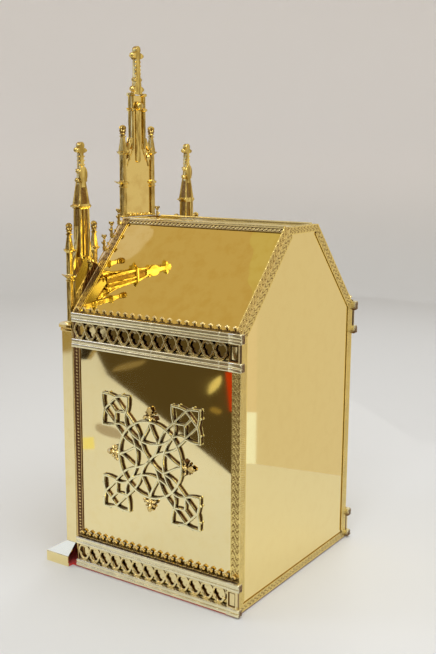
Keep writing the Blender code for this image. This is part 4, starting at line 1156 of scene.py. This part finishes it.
def make_side_towers():
    """Side tower: blind stage, core with curved stays, string course, spire, leafy knop, cross finial."""
    x, y = TOWER_X, PLANE_Y
    low, tip = PIER_TOP + 0.0003, corner_of("tower_right", 1)[2]
    smooth = rounded_square(0.22)
    front = y - 0.0060
    stage = rectangle(x - 0.0240, x + 0.0240, low, 0.5860)
    steps = ((0, RELIEF_BACK, 1), (0, front + 0.0010, 0.4), (0.0008, front, 0), (0.0042, front, 0),
             (0.0048, front + 0.0018, 1), (0.0062, front + 0.0018, 0.7), (0.0068, front + 0.0008, 0))
    parts = [stepped_plate(stage, steps, on_front)]
    gablet = [(x - 0.0240, 0.5862), (x + 0.0240, 0.5862), (x, 0.6300)]
    parts.append(stepped_plate(gablet, ((0, RELIEF_BACK, 1), (0, front, 0.2), (0.0008, front - 0.0012, 0),
                                        (0.0030, front - 0.0012, 0), (0.0036, front + 0.0010, 1),
                                        (0.0060, front + 0.0010, 0.4)), on_front))
    behind = RELIEF_BACK - y
    core = [(0.5700, 0.0150, -0.0088, behind), (0.6092, 0.0146, -0.0096, behind),
            (0.6098, 0.0146, -0.0096, 0.0096),
            (0.6600, 0.0140, -0.0096, 0.0096), (0.7020, 0.0134, -0.0092, 0.0092)]
    grooved = rolled_square(0.20, 0.16)
    # Painted shade: the sunk faces between the corner rolls are browner.
    furrow = np.where(np.max(np.abs(grooved), axis=1) < 0.86, 0.66, 0.0)
    parts += browned([shaft(core, grooved, (x, y), furrow)], 0.52)
    for side in (1, -1):
        parts += web(x, 0.0355 - SIDE_SHAFT - 0.0006, 0.5740, 0.6680, side, 0.0140)
    seam = [(x + 0.0010, 0.6120), (x + 0.0046, 0.6120), (x + 0.0040, 0.7010), (x + 0.0010, 0.7010)]
    parts.append(plate(seam, y + 0.0060, y + 0.0094, on_front, 0.0005, (0, 0)))
    slab = [(0.7003, 0.0138, 0.0094), (0.7018, 0.0166, 0.0106), (0.7024, 0.0150, 0.0096),
            (0.7042, 0.0190, 0.0126),
            (0.7068, 0.0190, 0.0126), (0.7076, 0.0166, 0.0106), (0.7094, 0.0154, 0.0104)]
    parts.append(shaft([(z, half, -deep, min(deep, 0.0100)) for z, half, deep in slab], smooth, (x, y)))
    for way in (1, -1):
        parts.append(beak((x + way * 0.0172, y, 0.7066), (way, 0, 0), 0.0090, 0.0160, 0.0044))
    spire = [(0.7080, 0.0152, 0.0102), (0.7500, 0.0086, 0.0060)]
    parts += browned([shaft([(z, half, -deep, min(deep, 0.0095)) for z, half, deep in spire], grooved, (x, y),
                         furrow)], 0.56)
    back, front = y + 0.0052, y - 0.0058
    rest = [(0.7460, 0.0088), (0.7600, 0.0070), (0.7780, 0.0046), (0.8040, 0.0042), (tip, 0.0022)]
    lobes = [(0.7530, 0.0128, 0.0056), (0.7700, 0.0102, 0.0046), (0.8088, 0.0142, 0.0054),
             (tip - 0.0068, 0.0070, 0.0070)]
    parts.append(half_relief(lobed_outline(rest, lobes), x, back, front))
    broad = lobed_outline([(0.7400, 0.0060), (0.7820, 0.0022)], [(0.7640, 0.0112, 0.0160)])
    parts.append(half_relief(broad, x, y + 0.0078, y + 0.0030))
    for z, reach in ((0.7530, 0.0128), (0.7700, 0.0102), (0.8088, 0.0142)):
        for wx in (1, -1):
            parts.append(ball((x + wx * (reach - 0.0035), y - 0.0014, z + 0.0008), 0.0046, sides=10))
        parts.append(leaf((x, front + 0.0020, z - 0.0030), (0, -0.6, 1), (0, -1, -0.2), 0.0100, 0.0080,
                     curl=0.8, bulb=0.4, thick=0.5))
    parts += browned(crockets(x, y, 0.7790, 0.8020, 3, 0.0052, back), 0.45)
    for wx, length, turn in ((-0.6, 0.0260, 3.2), (0.5, 0.0200, -2.8)):
        parts.append(leaf((x + 0.008 * wx, PLATE_BACK - 0.0010, 0.5990), (wx, 0.25, 0.6), (-0.5, 0, -1),
                     length, 0.0100, curl=turn, bulb=0.2, thick=0.6, stations=14))
    pair_of("cast", "tower", parts, "tower")
    for side_name, side in SIDES:
        for place, offset, away in (("outer", 0.0355, 1), ("inner", -0.0355, -1)):
            node = f"tower_{side_name}_{place}_pinnacle"
            yy = y if place == "outer" else RELIEF_BACK - SIDE_SHAFT
            made = pinnacle(x + offset, SIDE_SHAFT, (low, 0.5745, 0.6235, 0.6760), away, yy)
            piece(f"cast_{node}", both_ways(made, side), FINISH["tower"], node)


# Painted shade: the sunk faces between the corner rolls are browner.
PLAN_DARK = np.where(np.max(np.abs(rolled_square(0.3, 0.24)), axis=1) < 0.80, 0.8, 0.0)


def make_centre_tower():
    """Centre turret: corbel, tall plate, curved stays, panelled stage between posts, knop and cross."""
    y, wide, thin = PLANE_Y, 0.0396, 0.0016
    tip = corner_of("tower_centre", 1)[2]
    shoulder = bezier((wide, 0.8050), (wide - 0.006, 0.8070), (0.0240, 0.8120), (0.0212, 0.8280), 8)
    right = np.concatenate([[(wide, RIDGE + 0.0006)], shoulder, [(0.0205, 0.9170)]])
    outline = np.concatenate([right, (right * (-1, 1))[::-1]])
    piece("turret_plate", [plate(outline, y - thin, y + thin, on_front, 0.0005, (0.0, 0.0))],
          FINISH["turret"])
    parts = []
    corbel = np.array([(0.0120, 0.6080), (wide, 0.6400), (wide, 0.6740)])
    corbel = np.concatenate([corbel, (corbel * (-1, 1))[::-1]])
    parts.append(stepped_plate(corbel, ((0, RELIEF_BACK, 1), (0, y - 0.0050, 0.3), (0.0010, y - 0.0060, 0),
                                        (0.0040, y - 0.0060, 0), (0.0046, y - 0.0042, 1),
                                        (0.0070, y - 0.0040, 0.5)), on_front))
    scallop = np.linspace(-wide + 0.0050, wide - 0.0050, 9)
    for way in (1, -1):
        parts.append(plate(rectangle(-wide, wide, RIDGE + 0.0006, RIDGE + 0.0040), y + way * thin * 0.8,
                           y + way * 0.0046, on_front, 0.0008, (0.3, 0.0)))
        parts += [ball((a, y + way * 0.0030, RIDGE + 0.0046), 0.0027, sides=8, hollow=0.15) for a in scallop]
    posts, rolled, smooth = 0.0188, rolled_square(0.3, 0.24), rounded_square(0.25)
    for side in (1, -1):
        centre = (side * posts, y)
        parts.append(shaft([(0.8120, 0.0034, -0.0054, 0.0054), (0.9170, 0.0034, -0.0054, 0.0054)], rolled,
                     centre, PLAN_DARK))
        for z, half, deep in ((0.8895, 0.0058, 0.0078), (0.9187, 0.0058, 0.0074)):
            parts.append(shaft([(z - 0.0036, 0.0036, -0.0056, 0.0056), (z - 0.0018, half, -deep, deep),
                                (z + 0.0016, half, -deep, deep), (z + 0.0030, 0.0036, -0.0056, 0.0056)],
                                smooth, centre))
        parts.append(beak((side * (posts + 0.0050), y, 0.8908), (side, 0, 0), 0.0095, 0.0080, 0.0036))
        for way in (1, -1):
            stay = bezier((side * (wide + 0.0040), 0.8060), (side * (wide - 0.0060), 0.8120),
                          (side * (posts + 0.0090), 0.8160), (side * (posts + 0.0030), 0.8330), 10)
            parts.append(bar(stay, 0.0068, (y + way * thin, y + way * 0.0060), on_front, crown=0.35,
                         dark=0.6))
            parts.append(ball((side * (wide - 0.0045), y + way * 0.0040, 0.8062), 0.0042, sides=10))
            inner = bezier((side * (wide - 0.006), 0.7780), (side * (wide - 0.010), 0.7950),
                           (side * 0.0185, 0.7960), (side * 0.0140, 0.8230), 10)
            parts.append(bar(inner, 0.0030, (y + way * thin, y + way * 0.0030), on_front, crown=0.35,
                         dark=0.8))
    for side in (1, -1):
        parts.append(leaf((side * 0.0290, y + 0.0016, 0.8080), (side * 0.2, 0.1, -1), (0, 1, 0), 0.0180,
                     0.0085, curl=0.5, bulb=0.2, thick=0.5))
    back, front = y + 0.0056, y - 0.0062
    rest = [(0.9190, 0.0124), (0.9235, 0.0120), (0.9262, 0.0100), (0.9400, 0.0084), (0.9560, 0.0062),
            (0.9880, 0.0056), (tip, 0.0022)]
    lobes = [(0.9290, 0.0176, 0.0070), (0.9475, 0.0108, 0.0052), (0.9935, 0.0172, 0.0066),
             (tip - 0.0076, 0.0072, 0.0078)]
    parts.append(half_relief(lobed_outline(rest, lobes), 0, back, front))
    for z, reach, size in ((0.9290, 0.0176, 0.0062), (0.9475, 0.0108, 0.0045), (0.9935, 0.0172, 0.0058)):
        for side in (1, -1):
            parts.append(ball((side * (reach - 0.8 * size), y - 0.0012, z + 0.2 * size), 0.9 * size,
                         sides=12))
            parts.append(ball((side * (reach - 1.5 * size), y - 0.0030, z - 0.7 * size), 0.62 * size,
                         sides=8, hollow=0.3))
        parts.append(leaf((0, front + 0.0020, z - 0.0050), (0, -0.4, 1), (0, -1, -0.3), 2.4 * size,
                     2.2 * size, curl=0.8, bulb=0.4, thick=0.5))
    parts += browned(crockets(0, y, 0.9560, 0.9860, 4, 0.0060, back), 0.45)
    piece("cast_tower_centre", parts, FINISH["tower"], "tower_centre")
    made = pinnacle(wide + 0.0003 + CENTRE_SHAFT, CENTRE_SHAFT, (RIDGE + 0.0006, 0.7455, 0.8045, 0.8585), 1)
    pair_of("cast", "tower_centre_pinnacle", made, "tower")




def make_strap():
    """Flat stay with a round foot down the back of the turret, and the domed nut at its top."""
    lo, hi = (np.array(corner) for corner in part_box("tower_centre_strap"))
    half, back = 0.0066, lo[1]
    foot = arc((0, lo[2] + half), half, 180, 360, 12)
    outline = np.concatenate([foot, [(half, hi[2] - 0.0006), (-half, hi[2] - 0.0006)]])
    parts = [plate(outline, back, back + 0.0022, on_front, 0.0006, (0.4, 0.0))]
    z = 0.8965
    dome = [(0.0010, 0.0060), (0.0020, 0.0080), (0.0042, 0.0087), (0.0066, 0.0084), (0.0090, 0.0070),
            (0.0106, 0.0050), (0.0116, 0.0026), (0.0120, 0.0006)]
    parts.append(turned(dome, (0, back, z), (0, 1, 0), 28, [0.6, 0.3, 0, 0, 0, 0, 0, 0]))
    parts.append(turned([(0.0018, 0.0096), (0.0030, 0.0098), (0.0036, 0.0090)], (0, back, z), (0, 1, 0), 6,
                 [0.3, 0, 0.4]))
    piece("strap_with_nut", parts, FINISH["tower"], "tower_centre_strap", slot="polished_brass")


def rake_z(x):
    """Height of the gable's slope at distance x from the middle."""
    return RIDGE - (abs(x) - HALF_TOP) * (RIDGE - EAVE) / (HALF_WIDTH - HALF_TOP)


def make_gable_crests():
    """Strip along the gable's slope with upright leafy stalks that each carry a small side twig."""
    first, pitch, count, tall = 0.1082, 0.0226, 3, 0.0305
    y = RELIEF_BACK - 0.0022
    line = [(0.1250, rake_z(0.1250) - 0.0058), (0.0560, rake_z(0.0560) - 0.0058),
            (0.0560, rake_z(0.0560) - 0.0005), (0.1250, rake_z(0.1250) - 0.0005)]
    parts = [plate(line, RELIEF_BACK, RELIEF_BACK - 0.0040, on_front, 0.0007, (0.5, 0.0))]
    for k in range(count):
        x = first - k * pitch
        z = rake_z(x) - 0.0010
        stem = [(0, 0.0040), (0.0030, 0.0031), (0.0060, 0.0038), (0.0080, 0.0028), (0.70 * tall, 0.0025)]
        parts.append(turned(stem, (x, y, z), sides=8, hollow=[0.7, 0.5, 0.1, 0.5, 0.3]))
        top = z + 0.84 * tall
        parts.append(ball((x, y, top), 0.0038, sides=10))
        parts.append(ball((x, y, top + 0.0026), 0.0028, sides=8))
        for angle in range(0, 360, 90):
            out = (cos(radians(angle)), 0.7 * sin(radians(angle)), 0.3)
            parts.append(leaf((x, y, top - 0.0012), out, (0, 0, 1), 0.0078, 0.0070, curl=1.4, bulb=0.5,
                         thick=0.7, stations=7, sides=6))
        twig = (x + 0.0012, y, z + 0.34 * tall)
        parts.append(leaf(twig, (1, 0, 0.5), (0, 0, 1), 0.0080, 0.0054, curl=1.4, bulb=0.8, thick=0.8,
                     sides=6))
        between = x - pitch / 2
        parts.append(leaf((between, y, rake_z(between) - 0.002), (-0.3, 0, 1), (1, 0, 0), 0.0070, 0.0046,
                     curl=1.6, bulb=0.6, thick=0.7))
    pair_of("cast", "gable_crest", parts, "tower")


# ---- buttresses, feet and felt --------------------------------------------------------------
def rounded_block(levels, radius, steps=3):
    """Upright body from rounded rectangles: levels of (z, x low, x high, y front, y back)."""
    rings = []
    for z, x0, x1, y0, y1 in levels:
        turns = [arc((x1 - radius, y1 - radius), radius, 0, 90, steps),
                 arc((x0 + radius, y1 - radius), radius, 90, 180, steps),
                 arc((x0 + radius, y0 + radius), radius, 180, 270, steps),
                 arc((x1 - radius, y0 + radius), radius, 270, 360, steps)]
        plan = np.concatenate(turns)
        rings.append(np.column_stack([plan, np.full(len(plan), z)]))
    return skin(rings, 0.0)


def lancet(centre, half, foot, spring, steps=10):
    """Pointed arch outline: upright sides and two arcs struck from the opposite springers."""
    left = arc((centre + half, spring), 2 * half, 180, 120, steps)
    right = arc((centre - half, spring), 2 * half, 60, 0, steps)
    return np.concatenate([[(centre - half, foot)], left, right[1:], [(centre + half, foot)]])


def make_buttresses():
    """Box piers with two framed lancets on the front, under a stepped and rounded cap moulding."""
    (x0, front, low), (x1, back, high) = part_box("buttress_right")
    cap_over, cap_front = 0.0030, 0.0052
    x0, x1, front = x0 + cap_over, x1 - cap_over, front + cap_front
    cap = high - 0.0112

    def level(z, wide, deep):
        return z, x0 - wide, x1 + wide, front - deep, back

    moulding = [rounded_block([level(cap - 0.0060, 0, 0), level(cap - 0.0040, 0.0012, 0.0022),
                level(cap - 0.0010, 0.0013, 0.0024),
                            level(cap - 0.0006, 0.0006, 0.0010), level(cap, 0.0008, 0.0012),
                            level(cap + 0.0022, 0.0028, 0.0048),
                            level(high - 0.0042, 0.0030, 0.0052), level(high - 0.0034, 0.0027, 0.0048),
                            level(high, 0.0004, 0.0026)], 0.0009)]
    parts = [rounded_block([level(low, 0, 0), level(cap - 0.0050, 0, 0)], 0.0009)]
    centre = (x0 + x1) / 2
    for half, foot, spring, width in ((0.0270, low + 0.0240, cap - 0.0800, 0.0030),
                                      (0.0215, low + 0.0300, cap - 0.0790, 0.0018)):
        arch = lancet(centre, half, foot, spring)
        parts.append(bar(np.concatenate([arch, arch[:1]])[:-1], width, (front + 0.0004, front - 0.0010),
                     on_front, loop=True, crown=0.4, dark=0.6))
    pair_of("polished", "buttress", parts, "plain sheet", slot="polished_brass", crease=10)
    pair_of("cap_of", "buttress", moulding, "cap", stands_in=False, crease=20)


def make_feet():
    """Foot block folded from sheet: upright walls, a sloping hip on three sides, open behind and below."""
    (x0, front, low), (x1, back, high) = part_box("foot_block_right")
    wall, sheet = 0.0212, 0.0024
    hip_x, hip_y = 0.0227, 0.0340

    def section(y, inside):
        share = np.clip((y - inside - front) / hip_y, 0, 1)
        top = wall + (high - wall) * share - inside
        shelf = wall - 0.4 * inside
        slip = hip_x * share
        a, b = x0 + inside, x1 - inside
        soft = 0.0006
        line = [(a, low), (a, shelf - soft), (a + 0.5 * soft, shelf), (a + slip, top - 0.3 * soft),
                (a + slip + soft, top),
                (b - slip - soft, top), (b - slip, top - 0.3 * soft), (b - 0.5 * soft, shelf),
                (b, shelf - soft), (b, low)]
        return np.array(line)

    rings = []
    for y in (front + 0.0004, front + 0.0012, front + 0.5 * hip_y, front + hip_y - 0.0006,
              front + hip_y + 0.0006, back):
        outer, inner = section(y, 0.0), section(max(y, front + sheet + 0.0002), sheet)
        line = np.concatenate([outer, inner[::-1]])
        rings.append(np.column_stack([line[:, 0], np.full(len(line), y), line[:, 1]]))
    shade = np.concatenate([np.zeros(10), np.full(10, 0.9)])
    parts = [skin(rings, shade)]
    toe = [(x0 + 0.0004, low), (x0 + 0.0004, wall - 0.0004), (x1 - 0.0004, wall - 0.0004), (x1 - 0.0004, low)]
    parts.append(plate(toe, front + sheet, front, on_front, 0.0004, (0.8, 0.0)))
    pair_of("folded", "foot_block", parts, "foot sheet", slot="polished_brass", crease=20)


def make_felt():
    """Red felt pad glued under the base, with soft edges and a tongue inside each foot block."""
    (x0, y0, low), (x1, y1, high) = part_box("base_felt")
    foot_lo, foot_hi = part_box("foot_block_right")
    half, rear, front = 0.2185, y1, foot_hi[1] + 0.0011
    right = np.array([(half, rear), (half, front), (foot_hi[0] - 0.0028, front), (foot_hi[0] - 0.0028, y0),
                      (foot_lo[0] + 0.0028, y0), (foot_lo[0] + 0.0028, front)])
    outline = np.concatenate([right, (right * (-1, 1))[::-1]])
    middle = (low + high) / 2
    steps = ((0.0006, low, 0.6), (0.0001, middle - 0.0008, 0.2), (0.0, middle, 0.0),
             (0.0001, middle + 0.0008, 0.1), (0.0006, high, 0.3))
    pad = piece("red_felt_pad", [stepped_plate(outline, steps, on_floor)], FINISH["felt"], "base_felt",
                slot="red_felt")


# ---- doors and the front's mouldings ------------------------------------------------------------
def make_front():
    """Rose of six foils in the gable, and beads on the course at the eaves and on the door's sill."""
    face = corner_of("front_plate", 0)[1] + 0.0060
    middle = (0.0, 0.5480)
    parts = [bar(arc(middle, radius, 0, 360, 64)[:-1], width, (face - 0.0028, face - top), on_front,
             loop=True)
             for radius, width, top in ((0.0462, 0.0026, 0.0044), (0.0412, 0.0034, 0.0050))]
    for k in range(6):
        angle = radians(60 * k + 30)
        foil = arc((middle[0] + 0.0232 * cos(angle), middle[1] + 0.0232 * sin(angle)), 0.0128, 0, 360,
                   32)[:-1]
        parts.append(bar(foil, 0.0026, (face + 0.0002, face - 0.0026), on_front, loop=True))
    parts.append(turned([(0, 0.0085), (0.0020, 0.0085), (0.0036, 0.0060), (0.0044, 0.0020)],
                 (middle[0], face, middle[1]), (0, -1, 0), 24, [0.8, 0.1, 0, 0]))
    for half, z, foot, width in ((0.1345, 0.4815, 0.0044, 0.0040), (0.1345, 0.4775, 0.0044, 0.0022),
                                 (0.1170, 0.0475, 0.0058, 0.0036), (0.1170, 0.0425, 0.0058, 0.0030)):
        line = np.array([(-half, z), (0, z), (half, z)])
        parts.append(bar(line, width, (face - foot, face - foot - 0.0014), on_front, crown=0.5))
    piece("front_mouldings", parts, FINISH["tower"])


def make_doors():
    """Beaded border, framed lancets and a ringed four-lobed boss on each leaf, and the turned knob."""
    (_, y0, low), (x1, _, high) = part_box("door_right")
    face, width = y0 + 0.0052, x1 - 0.0063
    border = rectangle(0.0062, 0.1050, low + 0.0080, high - 0.0080)
    parts = [bar(border, 0.0028, (face + 0.0002, face - 0.0013), on_front, loop=True)]
    for share in (0.275, 0.725):
        arch = lancet(0.0003 + width * share, 0.0196, low + 0.0289, high - 0.0850)
        parts.append(bar(arch, 0.0024, (face + 0.0002, face - 0.0013), on_front, loop=True))
    middle = np.array((0.0003 + width / 2, high - 0.0320))
    parts.append(bar(arc(middle, 0.0165, 0, 360, 40)[:-1], 0.0026, (face + 0.0002, face - 0.0014), on_front,
                 loop=True))
    parts += [ball((middle[0] + 0.0072 * a, face - 0.0002, middle[1] + 0.0072 * b), 0.0058, (0, 1, 0), 16,
              0.35)
              for a, b in ((1, 0), (0, 1), (-1, 0), (0, -1))]
    for side_name, side in SIDES:
        piece(f"mouldings_of_door_{side_name}", both_ways(parts, side), FINISH["tower"],
              body=f"door_{side_name}")
    (a0, front, z0), (a1, back, z1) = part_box("door_knob")
    centre, z = (a0 + a1) / 2, (z0 + z1) / 2
    knob = [plate(rectangle(a0, a1, z0, z1), back, back - 0.0015, on_front, 0.0004, (0.6, 0.0))]
    reach = back - front
    profile = [(0.0010, 0.0062), (0.0024, 0.0062), (0.0030, 0.0042), (0.0056, 0.0030), (0.0076, 0.0034),
               (0.0090, 0.0062),
               (0.0112, 0.0078), (0.0134, 0.0078), (0.0154, 0.0062), (reach - 0.0006, 0.0036),
               (reach, 0.0012)]
    knob.append(turned(profile, (centre, back, z), (0, -1, 0), 32,
                [0.8, 0.4, 0.8, 0.6, 0.3, 0, 0, 0, 0, 0, 0]))
    piece("turned_door_knob", knob, FINISH["tower"], "door_knob", slot="polished_brass", body="door_right")


make_sheets()
make_front()
make_doors()
make_trims()
make_ridge_rails()
make_crosses()
make_galleries()
make_side_towers()
make_centre_tower()
make_strap()
make_gable_crests()
make_buttresses()
make_feet()
make_felt()


# ---- camera, floor and light --------------------------------------------------------------
def make_camera():
    """Camera off the right-hand rear corner, higher than the roof and rolled by 0.38 degrees."""
    data = bpy.data.cameras.new("camera")
    camera = bpy.data.objects.new("camera", data)
    bpy.context.scene.collection.objects.link(camera)
    data.sensor_width = 36.0
    data.lens = 51.49
    spot = Vector((1.5081, 1.0061, 0.8075))
    aim = Vector((-0.0020, 0.0, 0.4679))
    turn = (aim - spot).to_track_quat("-Z", "Y").to_matrix().to_4x4()
    camera.matrix_world = Matrix.Translation(spot) @ turn @ Matrix.Rotation(radians(0.38), 4, "Z")
    bpy.context.scene.camera = camera


def glow(name, colour, strength=1.0):
    """Evenly glowing surface for what the polished sheets mirror, its light painted in as a glow."""
    made, _, shader, _ = empty_material(name)
    shader.inputs["Base Color"].default_value = (0, 0, 0, 1)
    shader.inputs["Specular IOR Level"].default_value = 0.0
    shader.inputs["Emission Color"].default_value = (*colour, 1)
    shader.inputs["Emission Strength"].default_value = strength
    return made


def card(name, corners, colour, strength=1.0):
    """Flat card that only mirrors see: the room's walls and furnishings around the object, as a painted
    reflection that glows.
    """
    corners = np.asarray(corners, float)
    mesh = bpy.data.meshes.new(name)
    mesh.from_pydata(corners.tolist(), [], [list(range(len(corners)))])
    mesh.materials.append(glow(name, colour, strength))
    made = bpy.data.objects.new(name, mesh)
    bpy.context.scene.collection.objects.link(made)
    made.visible_camera = made.visible_diffuse = made.visible_shadow = False
    made.visible_transmission = made.visible_volume_scatter = False


def lying(points, z):
    """Plane points laid flat at height z."""
    return [(x, y, z) for x, y in points]


def standing(points, top):
    """Upright wall over a line of floor points."""
    return [(x, y, 0.004) for x, y in points] + [(x, y, top) for x, y in reversed(points)]


def sliver(start, end, width):
    """Pointed outline between two points: two cubic curves that bow apart to the width midway."""
    start, end = np.array(start), np.array(end)
    run = end - start
    bow = np.array((-run[1], run[0])) / np.linalg.norm(run) * width * 2 / 3
    near = bezier(start, start + 0.3 * run + bow, start + 0.7 * run + bow, end, 8)
    far = bezier(end, start + 0.7 * run - bow, start + 0.3 * run - bow, start, 8)
    return np.concatenate([near, far[1:-1]])


def tapered(start, end, width, end_width):
    """Straight strip along the line between two points, as wide as said at each end."""
    start, end = np.array(start), np.array(end)
    run = end - start
    across = np.array((-run[1], run[0])) / np.linalg.norm(run) / 2
    return [start - across * width, start + across * width, end + across * end_width,
            end - across * end_width]


def make_floor_cards():
    """Glowing painted reflections of the floor beside the object: a dark carpet with small things on it."""
    edge = bezier((0.70, -0.06), (0.96, -0.42), (1.18, -0.76), (1.46, -1.18), 14)
    rest = [(1.78, -1.52), (2.40, -1.95), (3.10, -1.70), (3.10, 0.30), (1.20, 0.55), (0.76, 0.20)]
    carpet = np.concatenate([edge, rest])
    card("dark carpet", lying(carpet, 0.0030), (0.082, 0.056, 0.020))
    card("dark carpet beyond", lying(carpet * (-1, 0.8) + (-0.25, 0.1), 0.0030), (0.16, 0.12, 0.07))
    for name, outline, height, colour in (
            ("paper on the carpet", sliver((1.435, -0.71), (1.685, -0.83), 0.034), 0.0040,
             (0.80, 0.66, 0.26)),
            ("strip on the carpet", sliver((1.505, -1.195), (1.735, -1.215), 0.070), 0.0040,
             (0.26, 0.19, 0.08)),
            ("scrap on the carpet", sliver((1.255, -0.55), (1.315, -0.615), 0.034), 0.0040,
             (0.30, 0.20, 0.05)),
            ("red edge", tapered((1.315, -0.52), (1.755, -0.825), 0.050, 0.050), 0.0045,
             (0.52, 0.040, 0.004)),
            # Painted shade on the floor, for the olive the pier and its cap mirror.
            ("olive floor shade beyond", tapered((1.64, -1.575), (2.12, -2.05), 0.08, 0.36), 0.0048,
             (0.34, 0.25, 0.095)),
            ("black edge beyond", tapered((1.595, -1.422), (1.845, -1.61), 0.035, 0.065), 0.0052,
             (0.024, 0.016, 0.008)),
            ("olive edge beyond", tapered((1.611, -1.402), (1.865, -1.57), 0.016, 0.022), 0.0053,
             (0.37, 0.287, 0.144)),
            ("yellow note", tapered((0.84, -0.725), (0.76, -0.65), 0.033, 0.033), 0.0045, (0.88, 0.80, 0.33)),
            ("thin shadow", sliver((0.88, -0.635), (0.96, -0.795), 0.060), 0.0042, (0.42, 0.36, 0.30))):
        card(name, lying(outline, height), colour)


def make_wall_cards():
    """What stands round the object, as glowing painted reflections: pale walls, a light panel and one dark
    piece of furniture.
    """
    curl = bezier((0.46, 3.09), (0.57, 3.04), (0.62, 2.86), (0.57, 2.60), 10)
    pale = np.concatenate([[(0.30, 2.60), (0.42, 2.90)], curl])
    card("pale corner", [(x, -2.0, z) for x, z in pale], (0.69, 0.61, 0.84))
    # Painted reflection: the glow the roof's slopes mirror as their golden colour.
    card("wall over the front", [(-2.0, -2.6, 1.3), (3.0, -2.6, 1.3), (3.0, -2.6, 5.0), (-2.0, -2.6, 5.0)],
         (0.573, 0.458, 0.383))
    # Painted highlight: a bright bluish glow for the white sheen on the feet's sloping hips.
    card("light panel", [(0.35, -1.25, 0.75), (1.45, -1.25, 0.75), (1.45, -1.25, 1.50), (0.35, -1.25, 1.50)],
         (0.45, 0.54, 1.0), 1.70)
    card("dark furniture", standing([(2.30, -2.60), (3.30, -1.10)], 1.25), (0.16, 0.12, 0.07))
    corner = [(-0.50, 0.586), (-0.47, 0.64)]
    near_line = [(-0.08, -0.50), (-0.487, 0.055), (-0.545, 0.363), corner[0]]
    ledge, head, top = 0.144, 1.2, 2.2
    card("near wall", standing(near_line, top), (0.70, 0.63, 0.50))
    card("near wall beyond", standing(corner, ledge), (0.88, 0.95, 1.00), 1.05)
    card("near wall above", [(x, y, z) for z, turn in ((ledge, 1), (head, -1)) for x, y in corner[::turn]],
         (0.76, 0.67, 0.54))
    card("far wall", standing([corner[1], (-0.10, 1.50)], top), (0.70, 0.62, 0.50))


def make_stage():
    """Round floor that sweeps up into a pale wall, far behind the object on every side."""
    radius, sweep, top = 4.4, 0.9, 3.4
    turn = arc((radius - sweep, sweep), sweep, -90, 0, 12)
    line = np.concatenate([[(0.02, 0.0), (1.5, 0.0)], turn, [(radius, top)]])
    angle = 2 * pi * np.arange(72) / 72
    rings = np.stack([line[:, :1] * np.cos(angle), line[:, :1] * np.sin(angle),
                      np.repeat(line[:, 1:], 72, axis=1)], axis=-1)
    points, groups, hollow = skin(rings)
    mesh = mesh_of("floor and wall", [(points, [groups[0], groups[1]], hollow)])
    mesh.shade_smooth()
    floor = bpy.data.objects.new("floor", mesh)
    bpy.context.scene.collection.objects.link(floor)
    made, tools, shader, where = empty_material("pale floor")
    height = tools.add("ShaderNodeSeparateXYZ", Vector=where).outputs["Z"]
    tint = tools.blend(tools.ramp(height, 0.0, 0.8), (0.728, 0.752, 0.785, 1), (0.88, 0.865, 0.87, 1))
    tools.feed(shader.inputs["Base Color"], tint)
    shader.inputs["Roughness"].default_value = 0.55
    shader.inputs["Specular IOR Level"].default_value = 0.2
    mesh.materials.append(made)


def softbox(name, spot, aim, size, power):
    """Square soft lamp at a spot, turned towards its aim."""
    data = bpy.data.lights.new(name, "AREA")
    data.size = size
    data.energy = power
    data.color = (0.94, 0.97, 1.0)
    light = bpy.data.objects.new(name, data)
    bpy.context.scene.collection.objects.link(light)
    turn = (Vector(aim) - Vector(spot)).to_track_quat("-Z", "Y").to_matrix().to_4x4()
    light.matrix_world = Matrix.Translation(spot) @ turn


def make_light():
    """Warm even room light and four soft lamps around the object."""
    world = bpy.data.worlds.new("soft room")
    bpy.context.scene.world = world
    world.use_nodes = True
    world.node_tree.nodes["Background"].inputs["Color"].default_value = (0.60, 0.53, 0.42, 1)
    world.node_tree.nodes["Background"].inputs["Strength"].default_value = 1.0
    middle = (0, 0, 0.4)
    softbox("overhead", (0.3, 1.0, 3.1), middle, 1.8, 34.0)
    softbox("side", (2.4, 0.9, 2.6), middle, 1.2, 22.0)
    softbox("low front", (1.55, -2.20, 2.05), (0.2, -0.24, 0.05), 0.95, 9.0)
    softbox("far side", (-2.6, -0.6, 2.4), middle, 1.4, 18.0)


make_camera()
make_stage()
make_floor_cards()
make_wall_cards()
make_light()
bpy.context.scene.view_settings.view_transform = "Standard"
